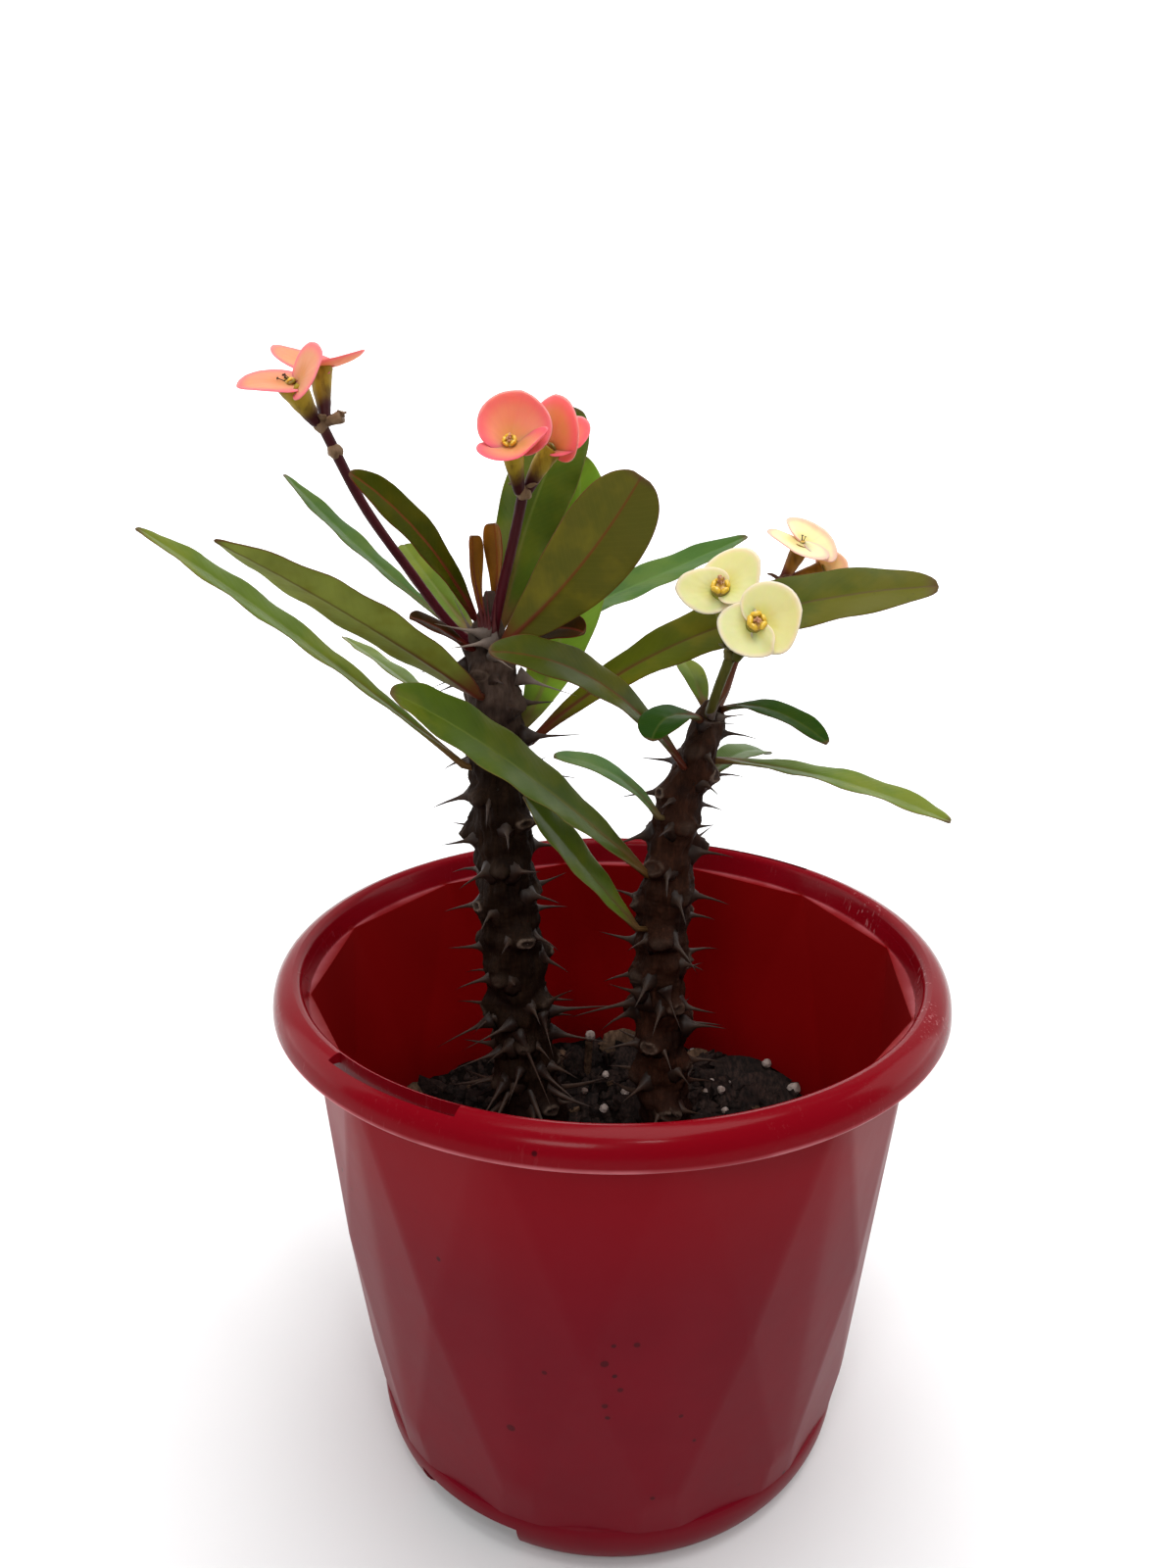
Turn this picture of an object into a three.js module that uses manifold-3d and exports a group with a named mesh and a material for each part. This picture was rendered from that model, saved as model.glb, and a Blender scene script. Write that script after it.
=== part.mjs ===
// Crown of thorns (a two-stemmed Euphorbia) growing in a faceted plastic pot.
// Millimetres, +Z up, origin in the middle of the pot's underside, -Y is the front.
import * as THREE from "three";
import { ConvexGeometry } from "three/addons/geometries/ConvexGeometry.js";
import { mergeVertices } from "three/addons/utils/BufferGeometryUtils.js";
import Module from "manifold-3d";

const wasm = await Module();
wasm.setup();

// ---- driving dimensions ----
const potHeight = 160.8;
const lipRadius = 100; // lower edge of the turned-over lip, a 200 mm pot
const lipLowZ = 151.8;
const wall = 1.6;
const facetCount = 12;
const facetTurn = 11.2; // azimuth of the first tall facet point, from the front
const facetTop = { radius: 91.1, z: 155 };
const facetMid = { radius: 85, z: 85 };
const facetLow = { radius: 75.6, z: 16 };
const footRadius = 65;
const floorZ = 4;
const slotTurns = [-34.4, 145.6]; // clip slots in the crown and drain gaps in the corner
const slotSpan = 25.3;
const drainHoles = { count: 6, radius: 4.5, ring: 38 };
const potSides = 32;
const footSides = 24;
const soilZ = 82; // general level of the potting mix
const gap = 0.4; // left between pieces that touch
const petalGap = 0.45; // round the bent bracts
const bladeThickness = 0.8;
const petalThickness = 0.7;
const petalSweep = 110; // degrees to either side of a bract's middle line
const petalFoot = 0.3; // share of a bract's length at which its inner ring lies
const hubRadius = 2.6; // of the disc that joins two bracts
const hubHalf = 0.7;
const coneTop = 3.4; // radius to which a flower's own stalk swells
const goldenTurn = 137.5; // leaf scars climb the stems in this spiral

// ---- helpers ----
const rad = THREE.MathUtils.degToRad;
const lerp = THREE.MathUtils.lerp;
const vec = (x, y, z) => new THREE.Vector3(x, y, z);
const polar = (r, azimuth, z) => vec(r * Math.sin(rad(azimuth)), -r * Math.cos(rad(azimuth)), z);

function seeded(seed) {
  let state = seed;
  return () => {
    state = (state + 0x6d2b79f5) | 0;
    let t = Math.imul(state ^ (state >>> 15), 1 | state);
    t = (t + Math.imul(t ^ (t >>> 7), 61 | t)) ^ t;
    return ((t ^ (t >>> 14)) >>> 0) / 4294967296;
  };
}

// A geometry as a solid with its faces pointing out.
function solidOf(geometry) {
  const bare = new THREE.BufferGeometry();
  bare.setAttribute("position", geometry.getAttribute("position"));
  bare.setIndex(geometry.index);
  const merged = mergeVertices(bare, 1e-4);
  const triVerts = new Uint32Array(merged.index.array);
  const vertProperties = new Float32Array(merged.attributes.position.array);
  const made = new wasm.Manifold(new wasm.Mesh({ numProp: 3, vertProperties, triVerts }));
  if (made.volume() >= 0) return made;
  return new wasm.Manifold(
    new wasm.Mesh({ numProp: 3, vertProperties, triVerts: triVerts.reverse() }),
  );
}

const join = (solids) => solids.reduce((all, one) => all.add(one));

// The main body of a cut solid, without the scraps that the cut set loose.
function largest(solid) {
  return solid.decompose().reduce((a, b) => (a.volume() > b.volume() ? a : b));
}

function meshOf(name, solid, color, roughness) {
  const { numProp, vertProperties, triVerts } = solid.getMesh();
  const points = [];
  for (let i = 0; i < vertProperties.length; i += numProp)
    points.push(vertProperties[i], vertProperties[i + 1], vertProperties[i + 2]);
  const geometry = new THREE.BufferGeometry();
  geometry.setAttribute("position", new THREE.Float32BufferAttribute(points, 3));
  geometry.setIndex(new THREE.BufferAttribute(triVerts, 1));
  geometry.computeVertexNormals();
  const material = new THREE.MeshStandardMaterial({ color, roughness, metalness: 0 });
  const mesh = new THREE.Mesh(geometry, material);
  mesh.name = name;
  return mesh;
}

// A body of revolution about Z from [radius, z] pairs.
function turned(profile, sides) {
  const points = profile.map(([r, z]) => new THREE.Vector2(r, z));
  return solidOf(new THREE.LatheGeometry(points, sides).rotateX(Math.PI / 2));
}

// A round bar that tapers from radius ra at a to rb at b.
function bar(a, b, ra, rb, sides) {
  const along = b.clone().sub(a);
  const shape = new THREE.CylinderGeometry(rb, ra, along.length(), sides, 1);
  shape.applyQuaternion(
    new THREE.Quaternion().setFromUnitVectors(vec(0, 1, 0), along.clone().normalize()),
  );
  const middle = a.clone().add(b).multiplyScalar(0.5);
  return solidOf(shape.translate(middle.x, middle.y, middle.z));
}

// A small round thing, with 8 faces.
const bead = (centre, radius) =>
  solidOf(new THREE.OctahedronGeometry(radius).translate(centre.x, centre.y, centre.z));

// ---- pot ----
// Twelve flat triangles hang from the rim, twelve stand on the foot and diamonds fill between.
function faceted(inset, top, mid, low) {
  const points = [];
  for (let i = 0; i < facetCount; i++) {
    const tall = facetTurn + (i * 360) / facetCount;
    points.push(polar(top.radius - inset, tall, top.z));
    points.push(polar(mid.radius - inset, tall + 180 / facetCount, mid.z));
    points.push(polar(low.radius - inset, tall, low.z));
  }
  return solidOf(new ConvexGeometry(points));
}

// A curved bar of rectangular section, centred on an azimuth.
function arcBlock(inner, outer, turn, span, lowZ, highZ) {
  const from = rad(turn - span / 2 - 90);
  const to = rad(turn + span / 2 - 90);
  const shape = new THREE.Shape();
  shape.absarc(0, 0, outer, from, to, false);
  shape.absarc(0, 0, inner, to, from, true);
  const block = new THREE.ExtrudeGeometry(shape, {
    depth: highZ - lowZ,
    bevelEnabled: false,
    curveSegments: 6,
  });
  return solidOf(block.translate(0, 0, lowZ));
}

function makePot() {
  const foot = turned(
    [[0, 0], [13, 0], [14.5, 2], [56, 2], [57.5, 0], [footRadius, 0], [69.8, 1.4], [73.3, 5.5],
      [75.2, 11.5], [75.6, 15.5], [74, 17.5], [0, 17.5]],
    footSides,
  );
  const lip = turned(
    [[89.7, 152], [92.9, 152], [93.1, 157.9], [96.6, 158.4], [98.5, lipLowZ],
      [lipRadius, lipLowZ], [99.5, 155.6], [98.2, 158.9], [96, 160.5], [94, potHeight],
      [92.2, 160.2], [91.4, 158.6], [89.7, 152]],
    potSides,
  );
  const collarFill = turned([[0, 152], [91, 152], [91, 156.5], [0, 156.5]], potSides);
  const innerFoot = turned(
    [[0, floorZ], [62, floorZ], [69.3, 7], [72.2, 13], [72.4, 18], [0, 18]],
    24,
  );
  const throat = turned([[0, 152.6], [89.85, 152.6], [91.4, 158.6], [91.4, 166], [0, 166]], potSides);
  let pot = join([
    faceted(0, facetTop, facetMid, facetLow),
    foot,
    collarFill,
    lip,
  ]);
  pot = pot
    .subtract(faceted(wall, { ...facetTop, z: 153.5 }, facetMid, { ...facetLow, z: 17 }))
    .subtract(innerFoot)
    .subtract(throat);
  for (const turn of slotTurns) {
    pot = pot.subtract(arcBlock(93.2, 96.7, turn, slotSpan, 156, 166));
    pot = pot.subtract(arcBlock(61, 84, turn, slotSpan + 3, -1, 10.5));
  }
  for (let i = 0; i < drainHoles.count; i++) {
    const at = polar(drainHoles.ring, (i * 360) / drainHoles.count, 0);
    const drill = bar(at.clone().setZ(-1), at.clone().setZ(6), drainHoles.radius, drainHoles.radius, 9);
    pot = pot.subtract(drill);
  }
  return largest(pot);
}

// ---- blades: leaves and bracts ----
// A closed thin sheet from a grid of stations, split the same way on both faces.
function sheet(rows, cols, pointAt) {
  const index = new THREE.PlaneGeometry(1, 1, cols, rows).index.array;
  const count = (rows + 1) * (cols + 1);
  const points = [];
  for (const side of [1, -1])
    for (let i = 0; i <= rows; i++)
      for (let j = 0; j <= cols; j++) points.push(...pointAt(i / rows, (2 * j) / cols - 1, side));
  const faces = [...index];
  for (let i = 0; i < index.length; i += 3)
    faces.push(index[i] + count, index[i + 2] + count, index[i + 1] + count);
  const edge = [];
  for (let j = 0; j < cols; j++) edge.push(j);
  for (let i = 0; i < rows; i++) edge.push(i * (cols + 1) + cols);
  for (let j = cols; j > 0; j--) edge.push(rows * (cols + 1) + j);
  for (let i = rows; i > 0; i--) edge.push(i * (cols + 1));
  edge.forEach((a, k) => {
    const b = edge[(k + 1) % edge.length];
    faces.push(a, b, b + count, a, b + count, a + count);
  });
  const geometry = new THREE.BufferGeometry();
  geometry.setAttribute("position", new THREE.Float32BufferAttribute(points, 3));
  geometry.setIndex(faces);
  return solidOf(geometry);
}

// The middle line of a blade: from root to tip, bowed off the straight line by `bow`.
function midrib({ root, tip, bow = [0, 0, 0] }) {
  const a = vec(...root);
  const b = vec(...tip);
  const middle = a.clone().add(b).multiplyScalar(0.5).addScaledVector(vec(...bow), 2);
  return new THREE.QuadraticBezierCurve3(a, middle, b);
}

// Half width at t along a blade: a narrow stalk, widest at `widest`, rounded off by `blunt`.
function halfWidth(t, { width, stalk = 1.1, widest = 0.64, blunt = 0.55 }) {
  const rise = (blunt * widest) / (1 - widest);
  const peak = widest ** rise * (1 - widest) ** blunt;
  const swell = (t ** rise * Math.max(1 - t, 0) ** blunt) / peak;
  return lerp(stalk, width / 2, swell) - stalk * 0.7 * t ** 6;
}

// face is the way the upper side looks and fold lifts the two halves. A blade with an anchor
// has one more row of points there, inside what it grows from. grow thickens it all round.
function blade(spec, thickness, rows, cols, grow = 0) {
  const { face, fold = 14, anchor, stalkThick = 2.2 } = spec;
  const line = midrib(spec);
  const hidden = anchor ? 1 : 0;
  return sheet(rows + hidden, cols, (station, s, side) => {
    const row = Math.max(station * (rows + hidden) - hidden, 0) / rows;
    const t = 1 - (1 - row) ** 1.4; // rows crowd towards the rounded tip
    const at = anchor && !station ? vec(...anchor) : line.getPoint(t);
    const along = line.getTangent(t);
    at.addScaledVector(along, t === 0 ? -grow : t === 1 ? grow : 0);
    const up = vec(...face);
    up.addScaledVector(along, -up.dot(along)).normalize();
    const across = along.clone().cross(up);
    const half = halfWidth(t, spec) + grow;
    const lift = Math.abs(s) * half * Math.tan(rad(fold));
    const thick = thickness + Math.max(0, 1 - t / 0.16) * (stalkThick - thickness) + 2 * grow;
    return at
      .addScaledVector(across, s * half)
      .addScaledVector(up, lift + (side * thick) / 2)
      .toArray();
  });
}

// ---- leaves: root and tip in place, blade width, and the way the upper side looks ----
const olive = 0x4f5a22;
const green = 0x3d6420;
const deepGreen = 0x2c4f1f;
const blueGreen = 0x3c6b42;
const brightGreen = 0x5b7d2c;
const bronze = 0x4a3b1c;
const redBrown = 0x6b2a17;

const leaves = {
  left_leaf_01: { root: [-45, 15, 213], tip: [-122, -22, 287], bow: [-3.9, 0, 5.5], width: 14,
    face: [0.6, -0.14, 0.78], color: green, blunt: 0.8 },
  left_leaf_02: { root: [-39, 9, 236], tip: [-96, -40, 286], bow: [-0.9, 0, 2.4], width: 17,
    face: [0.2, 0.85, 0.55], color: olive, widest: 0.46, blunt: 0.9 },
  left_leaf_03: { root: [-46, 24, 252], tip: [-106, 62, 296], bow: [-0.6, 0, -1.5], width: 11,
    face: [0.45, -0.15, 0.85], color: deepGreen, blunt: 0.8 },
  left_leaf_04: { root: [-41, 17, 258], tip: [-69, -10, 300], bow: [2.1, 0, 3.1], width: 12,
    face: [0.6, -0.6, 0.5], color: bronze },
  left_leaf_05: { root: [-42, 28, 250], tip: [-68, 60, 274], bow: [-1.9, 0, 1.9], width: 12,
    face: [0.3, -0.8, 0.5], color: brightGreen },
  left_leaf_06: { root: [-43, 13, 250], tip: [-56, -3, 261], bow: [0, 0, 1.1], width: 8,
    face: [0.2, -0.5, 0.8], color: bronze },
  left_leaf_07: { root: [-32, 9, 251], tip: [7, -22, 300], bow: [2.1, 0, -1.6], width: 23,
    face: [0.2, 0.95, 0.1], color: olive, widest: 0.68, blunt: 0.45 },
  left_leaf_08: { root: [-34, 28, 252], tip: [-11, 50, 316], bow: [-2.2, 0, 2.8], width: 22,
    face: [-0.2, -0.95, 0.3], color: green },
  left_leaf_09: { root: [-28, 24, 222], tip: [-11, 60, 302], bow: [5.6, -1, -4.5], width: 23,
    face: [-0.2, -0.95, 0.3], color: brightGreen },
  left_leaf_10: { root: [-38, 27, 246], tip: [46, 88, 274], bow: [-4.8, 15, -4.3], width: 17,
    face: [0, -0.3, 0.95], color: blueGreen },
  left_leaf_11: { root: [-25, 24, 218], tip: [94, 18, 267], bow: [-7.2, 2, 10], width: 20,
    face: [-0.2, -0.66, 0.75], color: olive, widest: 0.7, blunt: 0.5 },
  left_leaf_12: { root: [-42, 29, 217], tip: [-93, 74, 241], bow: [-1.6, 2, 1.7], width: 13,
    face: [0.55, -0.05, 0.82], color: green },
  left_leaf_13: { root: [-28, 17, 249], tip: [-8, 2, 256], bow: [0.1, 0, 3.1], width: 11,
    face: [-0.3, -0.5, 0.8], color: bronze },
  left_leaf_14: { root: [-31, 22, 248], tip: [-15, 22, 263], bow: [1, 0, -1], width: 10,
    face: [-0.5, -0.7, 0.5], color: blueGreen },
  left_bud_leaf_1: { root: [-38, 14, 259], tip: [-40, 11, 282], bow: [-1, 0, 0], width: 7,
    face: [0.8, -0.5, 0.2], color: redBrown, stalk: 0.9, fold: 30, widest: 0.72 },
  left_bud_leaf_2: { root: [-35, 20, 260], tip: [-34, 16, 285], bow: [1, 0, 0], width: 7.5,
    face: [-0.6, -0.8, 0.2], color: redBrown, stalk: 0.9, fold: 30, widest: 0.72 },
  right_leaf_01: { root: [21, 13, 214], tip: [-32, -26, 256], bow: [1.6, -1, 9], width: 15,
    face: [0.5, -0.5, 0.8], color: olive },
  right_leaf_02: { root: [14, 12, 198], tip: [-17, 2, 220], bow: [2, 0, 3.9], width: 8,
    face: [0.2, -0.4, 0.9], color: blueGreen },
  right_leaf_03: { root: [11, 12, 179], tip: [-55, -42, 249], bow: [-2.8, -2, 7.3], width: 20,
    face: [0.45, -0.45, 0.75], color: green },
  right_leaf_04: { root: [8, 12, 161], tip: [-25, -8, 211], bow: [-1.1, 0, 1.3], width: 14,
    face: [0.7, -0.4, 0.6], color: brightGreen },
  right_leaf_05: { root: [32, 19, 214], tip: [92, -22, 209], bow: [0.8, -1, 3.6], width: 14,
    face: [0.1, -0.1, 0.98], color: green },
  right_leaf_06: { root: [30, 27, 206], tip: [52, 58, 205], bow: [-0.2, 0, 3.9], width: 12,
    face: [0, -0.2, 0.95], color: deepGreen },
  right_leaf_07: { root: [33, 19, 230], tip: [60, -8, 227], bow: [-0.8, -1, 4.9], width: 11,
    face: [0.1, -0.25, 0.95], color: deepGreen },
  right_leaf_08: { root: [25, 12, 229], tip: [11, -13, 229], bow: [-2.1, -2, 3.9], width: 13,
    face: [-0.2, -0.6, 0.75], color: green, widest: 0.6, blunt: 0.45 },
  right_leaf_09: { root: [28, 27, 229], tip: [22, 42, 240], bow: [0.1, 0, 1.9], width: 9,
    face: [0.3, -0.6, 0.7], color: green },
};

// ---- flowers: two broad bracts round a cup of nectar glands, on a swelling stalk ----
const salmon = 0xe8806c;
const cream = 0xe4e7b2;
const creamPink = 0xf0cfae;
const nectar = 0xc9932a;

const flowers = {
  a1: { hub: [-86, 3, 322.5], axis: [-0.35, -0.35, 0.85], color: salmon, fork: [-81, 8, 312],
    bracts: [{ tip: [-13.5, -4, -1], face: [-0.1, -0.45, 0.9], width: 13, bow: [0, 0, 0.6] },
      { tip: [8, -4.8, 6.8], face: [-0.65, -0.6, 0.35], width: 16.5, from: [2.2, -0.3, 0.6] }] },
  a2: { hub: [-81, 17, 327], axis: [0.1, 0.3, 0.95], color: salmon, fork: [-79, 10, 313],
    bracts: [{ tip: [-14.5, 6, 6], face: [0.5, -0.6, 0.6], width: 9, bow: [-1, 0, -0.6] },
      { tip: [12.5, 0, 4.5], face: [-0.4, 0, 0.9], width: 13, bow: [1, 0, -0.5] }] },
  b1: { hub: [-27.5, -1, 307], axis: [-0.1, -0.75, 0.65], color: salmon, fork: [-26, 7, 294],
    bracts: [{ tip: [3, 3, 13.8], face: [0, -0.9, -0.1], width: 20, bow: [0, 2, 0], fold: 14 },
      { tip: [3, -9.5, -2.4], face: [-0.2, -0.5, 0.85], width: 19.5, bow: [0, -1, -1],
        from: [0.8, 0, 0], curl: 2.5 }] },
  b2: { hub: [-17, 10, 305.5], axis: [0.8, 0.2, 0.6], color: salmon, fork: [-24, 8, 294],
    bracts: [{ tip: [1, 0, 14.2], face: [0.62, 0.75, 0], width: 19, bow: [-0.5, -1, 0] },
      { tip: [8, 6, 8.5], face: [-0.5, -0.7, 0.4], width: 16, bow: [0.5, 0.5, -0.5] }] },
  c1: { hub: [30.5, 11, 267], axis: [-0.1, -0.75, 0.65], color: cream, fork: [34, 9, 249],
    bracts: [{ tip: [-13, -3, 1], face: [0.1, -0.75, 0.65], width: 14.5, bow: [0, 1, -1] },
      { tip: [10.8, 0, 8.3], face: [-0.2, -0.75, 0.6], width: 19, bow: [0, 1.5, 0] }] },
  c2: { hub: [39.5, -2, 259.5], axis: [0, -0.85, 0.5], color: cream, fork: [35, 6, 248],
    bracts: [{ tip: [12, -2, 4.2], face: [-0.3, -0.85, 0.4], width: 21, bow: [0.5, 1.5, 0] },
      { tip: [-7.5, -5, -6], face: [0.2, -0.7, 0.7], width: 19, bow: [0, 1.5, -0.5] }] },
  d1: { hub: [57.3, 40, 277.3], axis: [0.1, -0.35, 0.95], color: creamPink, fork: [52, 42, 265],
    bracts: [{ tip: [-2, -7.5, -2.6], face: [0.31, -0.42, 0.85], width: 20.5, bow: [0, -0.5, -0.5],
      from: [-1.2, 0, 0.2] },
      { tip: [7, 5, 3.4], face: [0, -0.75, 0.65], width: 20.5, bow: [0, 1, -1],
        from: [0.6, 0, -0.3] }] },
  d2: { hub: [64.7, 43, 268.9], axis: [0.85, -0.1, 0.4], color: creamPink, fork: [53, 43, 265],
    bracts: [{ tip: [7.2, -2.5, 0.8], face: [0.15, 0.92, 0.15], width: 10.5, bow: [-0.5, 0, 0.3] },
      { tip: [6.5, 4, -2], face: [-0.3, -0.8, 0.5], width: 11, bow: [0, 0, 0.5] }] },
};

// A kidney-shaped bract as a fan round its root, with a notch between the two basal lobes.
// twist tips it so that neighbouring lobes overlap, and curl turns up both of its sides.
function kidney(spec, grow) {
  const { face, width, fold = 6, twist = 0.5, curl = 0 } = spec;
  const line = midrib(spec);
  const length = vec(...spec.root).distanceTo(vec(...spec.tip));
  const rings = 2;
  const rays = 6;
  const widest = 0.74; // the largest share that `reach` times the sine of the turn comes to
  return sheet(rings, rays, (station, s, side) => {
    const lobe = rad(petalSweep * s);
    const turn = lobe * (1 + 0.4 * grow); // closes the notch as it grows
    const spread = grow * (3 * station - 1.5); // moves the inner ring in and the margin out
    const reach = lerp(petalFoot, 1, station) * Math.cos(lobe / 2) ** 1.2;
    const x = reach * Math.cos(turn);
    const y = (width / 2 / widest) * reach * Math.sin(turn);
    const t = Math.max(x, 0);
    const along = line.getTangent(t);
    const up = vec(...face);
    up.addScaledVector(along, -up.dot(along)).normalize();
    const across = along.clone().cross(up);
    const out = y / (width / 2);
    const lift = Math.tan(rad(fold)) * (Math.hypot(y, 0.55) - 0.55) + twist * out * (1 - t);
    return line.getPoint(t)
      .addScaledVector(along, (x - t) * length + spread * Math.cos(turn))
      .addScaledVector(across, y + spread * Math.sin(turn))
      .addScaledVector(up, lift + curl * out ** 2 + side * (petalThickness / 2 + grow))
      .toArray();
  });
}

// grow thickens the bracts, for cutting the stalk and the cup clear of them.
function makeBracts({ hub, axis, bracts }, grow = 0) {
  const centre = vec(...hub);
  const out = vec(...axis).normalize();
  const parts = bracts.map((bract) => {
    const root = centre.clone().add(vec(...(bract.from ?? [0, 0, 0])));
    const tip = root.clone().add(vec(...bract.tip));
    return kidney({ ...bract, root: root.toArray(), tip: tip.toArray() }, grow);
  });
  const half = hubHalf + grow;
  const under = centre.clone().addScaledVector(out, -half);
  const over = centre.clone().addScaledVector(out, half);
  parts.push(bar(under, over, hubRadius + grow, hubRadius + grow, 6));
  return join(parts);
}

// Five glands stand round the cup as the points of a short fluted column.
function makeCup(spec) {
  const outline = new THREE.Shape();
  for (let i = 0; i < 10; i++) {
    const r = i % 2 ? 1.5 : 2.5;
    outline.lineTo(r * Math.cos(rad(i * 36)), r * Math.sin(rad(i * 36)));
  }
  const column = new THREE.ExtrudeGeometry(outline, { depth: 3.4, bevelEnabled: false });
  column.applyQuaternion(
    new THREE.Quaternion().setFromUnitVectors(vec(0, 0, 1), vec(...spec.axis).normalize()),
  );
  return largest(solidOf(column.translate(...spec.hub)).subtract(makeBracts(spec, petalGap)));
}

// ---- flower stalks ----
const maroon = 0x3d141b;
const stalkGreen = 0x3a3f18;

const peduncles = {
  peduncle_a: { color: maroon, radius: 1.5, blooms: ["a1", "a2"],
    path: [[-39, 18, 248], [-46, 16, 254], [-58, 14, 271], [-70, 11, 290], [-80, 9, 312]],
    stub: [-74, 8, 314] },
  peduncle_b: { color: maroon, radius: 1.6, blooms: ["b1", "b2"],
    path: [[-36, 15, 250], [-32, 11, 266], [-28, 9, 281], [-25, 8, 294]] },
  peduncle_c: { color: stalkGreen, radius: 1.6, blooms: ["c1", "c2"],
    path: [[29, 18, 228], [29.5, 13, 233], [31, 11, 239], [34, 8, 249]] },
  peduncle_d: { color: bronze, radius: 1.4, blooms: ["d1", "d2"],
    path: [[30, 21, 227], [34, 27, 233], [38, 33, 243], [45, 40, 255], [52, 42, 265]] },
};

function makePeduncle({ radius, path, blooms, stub }) {
  const line = new THREE.CatmullRomCurve3(path.map((p) => vec(...p)));
  const section = new THREE.Shape();
  for (let i = 0; i < 5; i++)
    section.lineTo(radius * Math.cos(rad(i * 72)), radius * Math.sin(rad(i * 72)));
  const tube = { steps: 4, bevelEnabled: false, extrudePath: line };
  const parts = [
    solidOf(new THREE.ExtrudeGeometry(section, tube)),
    bead(line.getPoint(1), radius * 1.7),
  ];
  for (const key of blooms) {
    const { hub, axis, fork } = flowers[key];
    const top = vec(...hub).addScaledVector(vec(...axis).normalize(), -hubHalf - gap);
    parts.push(bar(vec(...fork), top, radius * 0.85, coneTop, 6));
  }
  if (stub) parts.push(bar(line.getPoint(1), vec(...stub), radius * 0.8, radius * 0.9, 5));
  const whole = join(parts);
  return blooms.reduce((all, key) => largest(all.subtract(makeBracts(flowers[key], petalGap))), whole);
}

// ---- stems ----
const bark = 0x3a2a24;

const stems = {
  left_stem: {
    seed: 11, turn: 40, color: bark, scarFrom: 96, scarTo: 252, pitch: 4.7,
    axis: [[-26, 20, 58], [-26, 20, 85], [-28, 20, 103], [-30, 20, 129], [-32, 20, 156],
      [-34, 20, 185], [-35, 20, 205], [-36, 20, 229], [-37, 19, 250], [-36, 17, 265]],
    girth: [[58, 10], [84, 12], [96, 10.5], [110, 9.6], [160, 9.6], [205, 9], [235, 8], [247, 7],
      [254, 4.5], [259, 3], [266, 1.6]],
    claws: { count: 9, z: 101, reach: 30, tipZ: 90 },
  },
  right_stem: {
    seed: 23, turn: 10, color: bark, scarFrom: 96, scarTo: 226, pitch: 4.7,
    axis: [[20, 20, 58], [19, 20, 88], [17, 20, 105], [16, 20, 125], [16, 20, 158], [18, 20, 179],
      [20, 20, 197], [26, 20, 216], [29, 20, 229], [30, 20, 233]],
    girth: [[58, 8], [88, 8.6], [105, 8.2], [160, 8.4], [200, 7.2], [216, 6], [228, 4.6], [233, 2]],
    claws: { count: 3, z: 100, reach: 18, tipZ: 95 },
  },
};

function tableAt(table, z) {
  for (let i = 1; i < table.length; i++) {
    const [z0, v0] = table[i - 1];
    const [z1, v1] = table[i];
    if (z <= z1) return lerp(v0, v1, THREE.MathUtils.clamp((z - z0) / (z1 - z0), 0, 1));
  }
  return table[table.length - 1][1];
}

// Middle of the stem at a height.
function axisAt(axis, z) {
  return vec(
    tableAt(axis.map((p) => [p[2], p[0]]), z),
    tableAt(axis.map((p) => [p[2], p[1]]), z),
    z,
  );
}

function scarsOf({ turn, scarFrom, scarTo, pitch }) {
  const scars = [];
  for (let k = 0; scarFrom + k * pitch < scarTo; k++)
    scars.push({ z: scarFrom + k * pitch, azimuth: turn + k * goldenTurn });
  return scars;
}

const angleApart = (a, b) => Math.abs(((((a - b) % 360) + 540) % 360) - 180);

// Stem radius with the swollen pad under each leaf scar.
function skinRadius(spec, scars, azimuth, z) {
  const plain = tableAt(spec.girth, z);
  let pads = 0;
  for (const scar of scars) {
    const around = (rad(angleApart(azimuth, scar.azimuth)) * plain) / 4.2;
    const along = (z - scar.z) / 3.6;
    pads = Math.max(pads, Math.exp(-around * around - along * along));
  }
  return plain + 2.1 * pads * Math.min(1, plain / 7);
}

// Everything that grows out of a stem, as lines with a clear radius, so that spines miss it.
const growth = [
  ...Object.values(leaves).map((spec) => ({ line: midrib(spec), clear: spec.width / 2 })),
  ...Object.values(peduncles).map(({ path, radius }) => ({
    line: new THREE.CatmullRomCurve3(path.map((p) => vec(...p))),
    clear: radius,
  })),
];

function misses(from, to) {
  const spine = new THREE.Line3(from, to);
  const near = vec(0, 0, 0);
  for (const { line, clear } of growth)
    for (let t = 0; t <= 1; t += 0.05) {
      const at = line.getPoint(t);
      const room = 2 + clear * Math.min(1, t * 3);
      if (spine.closestPointToPoint(at, true, near).distanceTo(at) < room) return false;
    }
  return true;
}

// A thorn with a broad foot that narrows quickly to a long point.
function thorn(foot, tip, width, grow) {
  const along = tip.clone().sub(foot);
  const length = along.length() + grow;
  const shape = new THREE.LatheGeometry(
    [[0, 0], [width + grow, 0], [width * 0.38 + grow, length * 0.4], [0, length]].map(
      ([r, y]) => new THREE.Vector2(r, y),
    ),
    3,
  );
  shape.applyQuaternion(
    new THREE.Quaternion().setFromUnitVectors(vec(0, 1, 0), along.normalize()),
  );
  return solidOf(shape.translate(foot.x, foot.y, foot.z));
}

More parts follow.
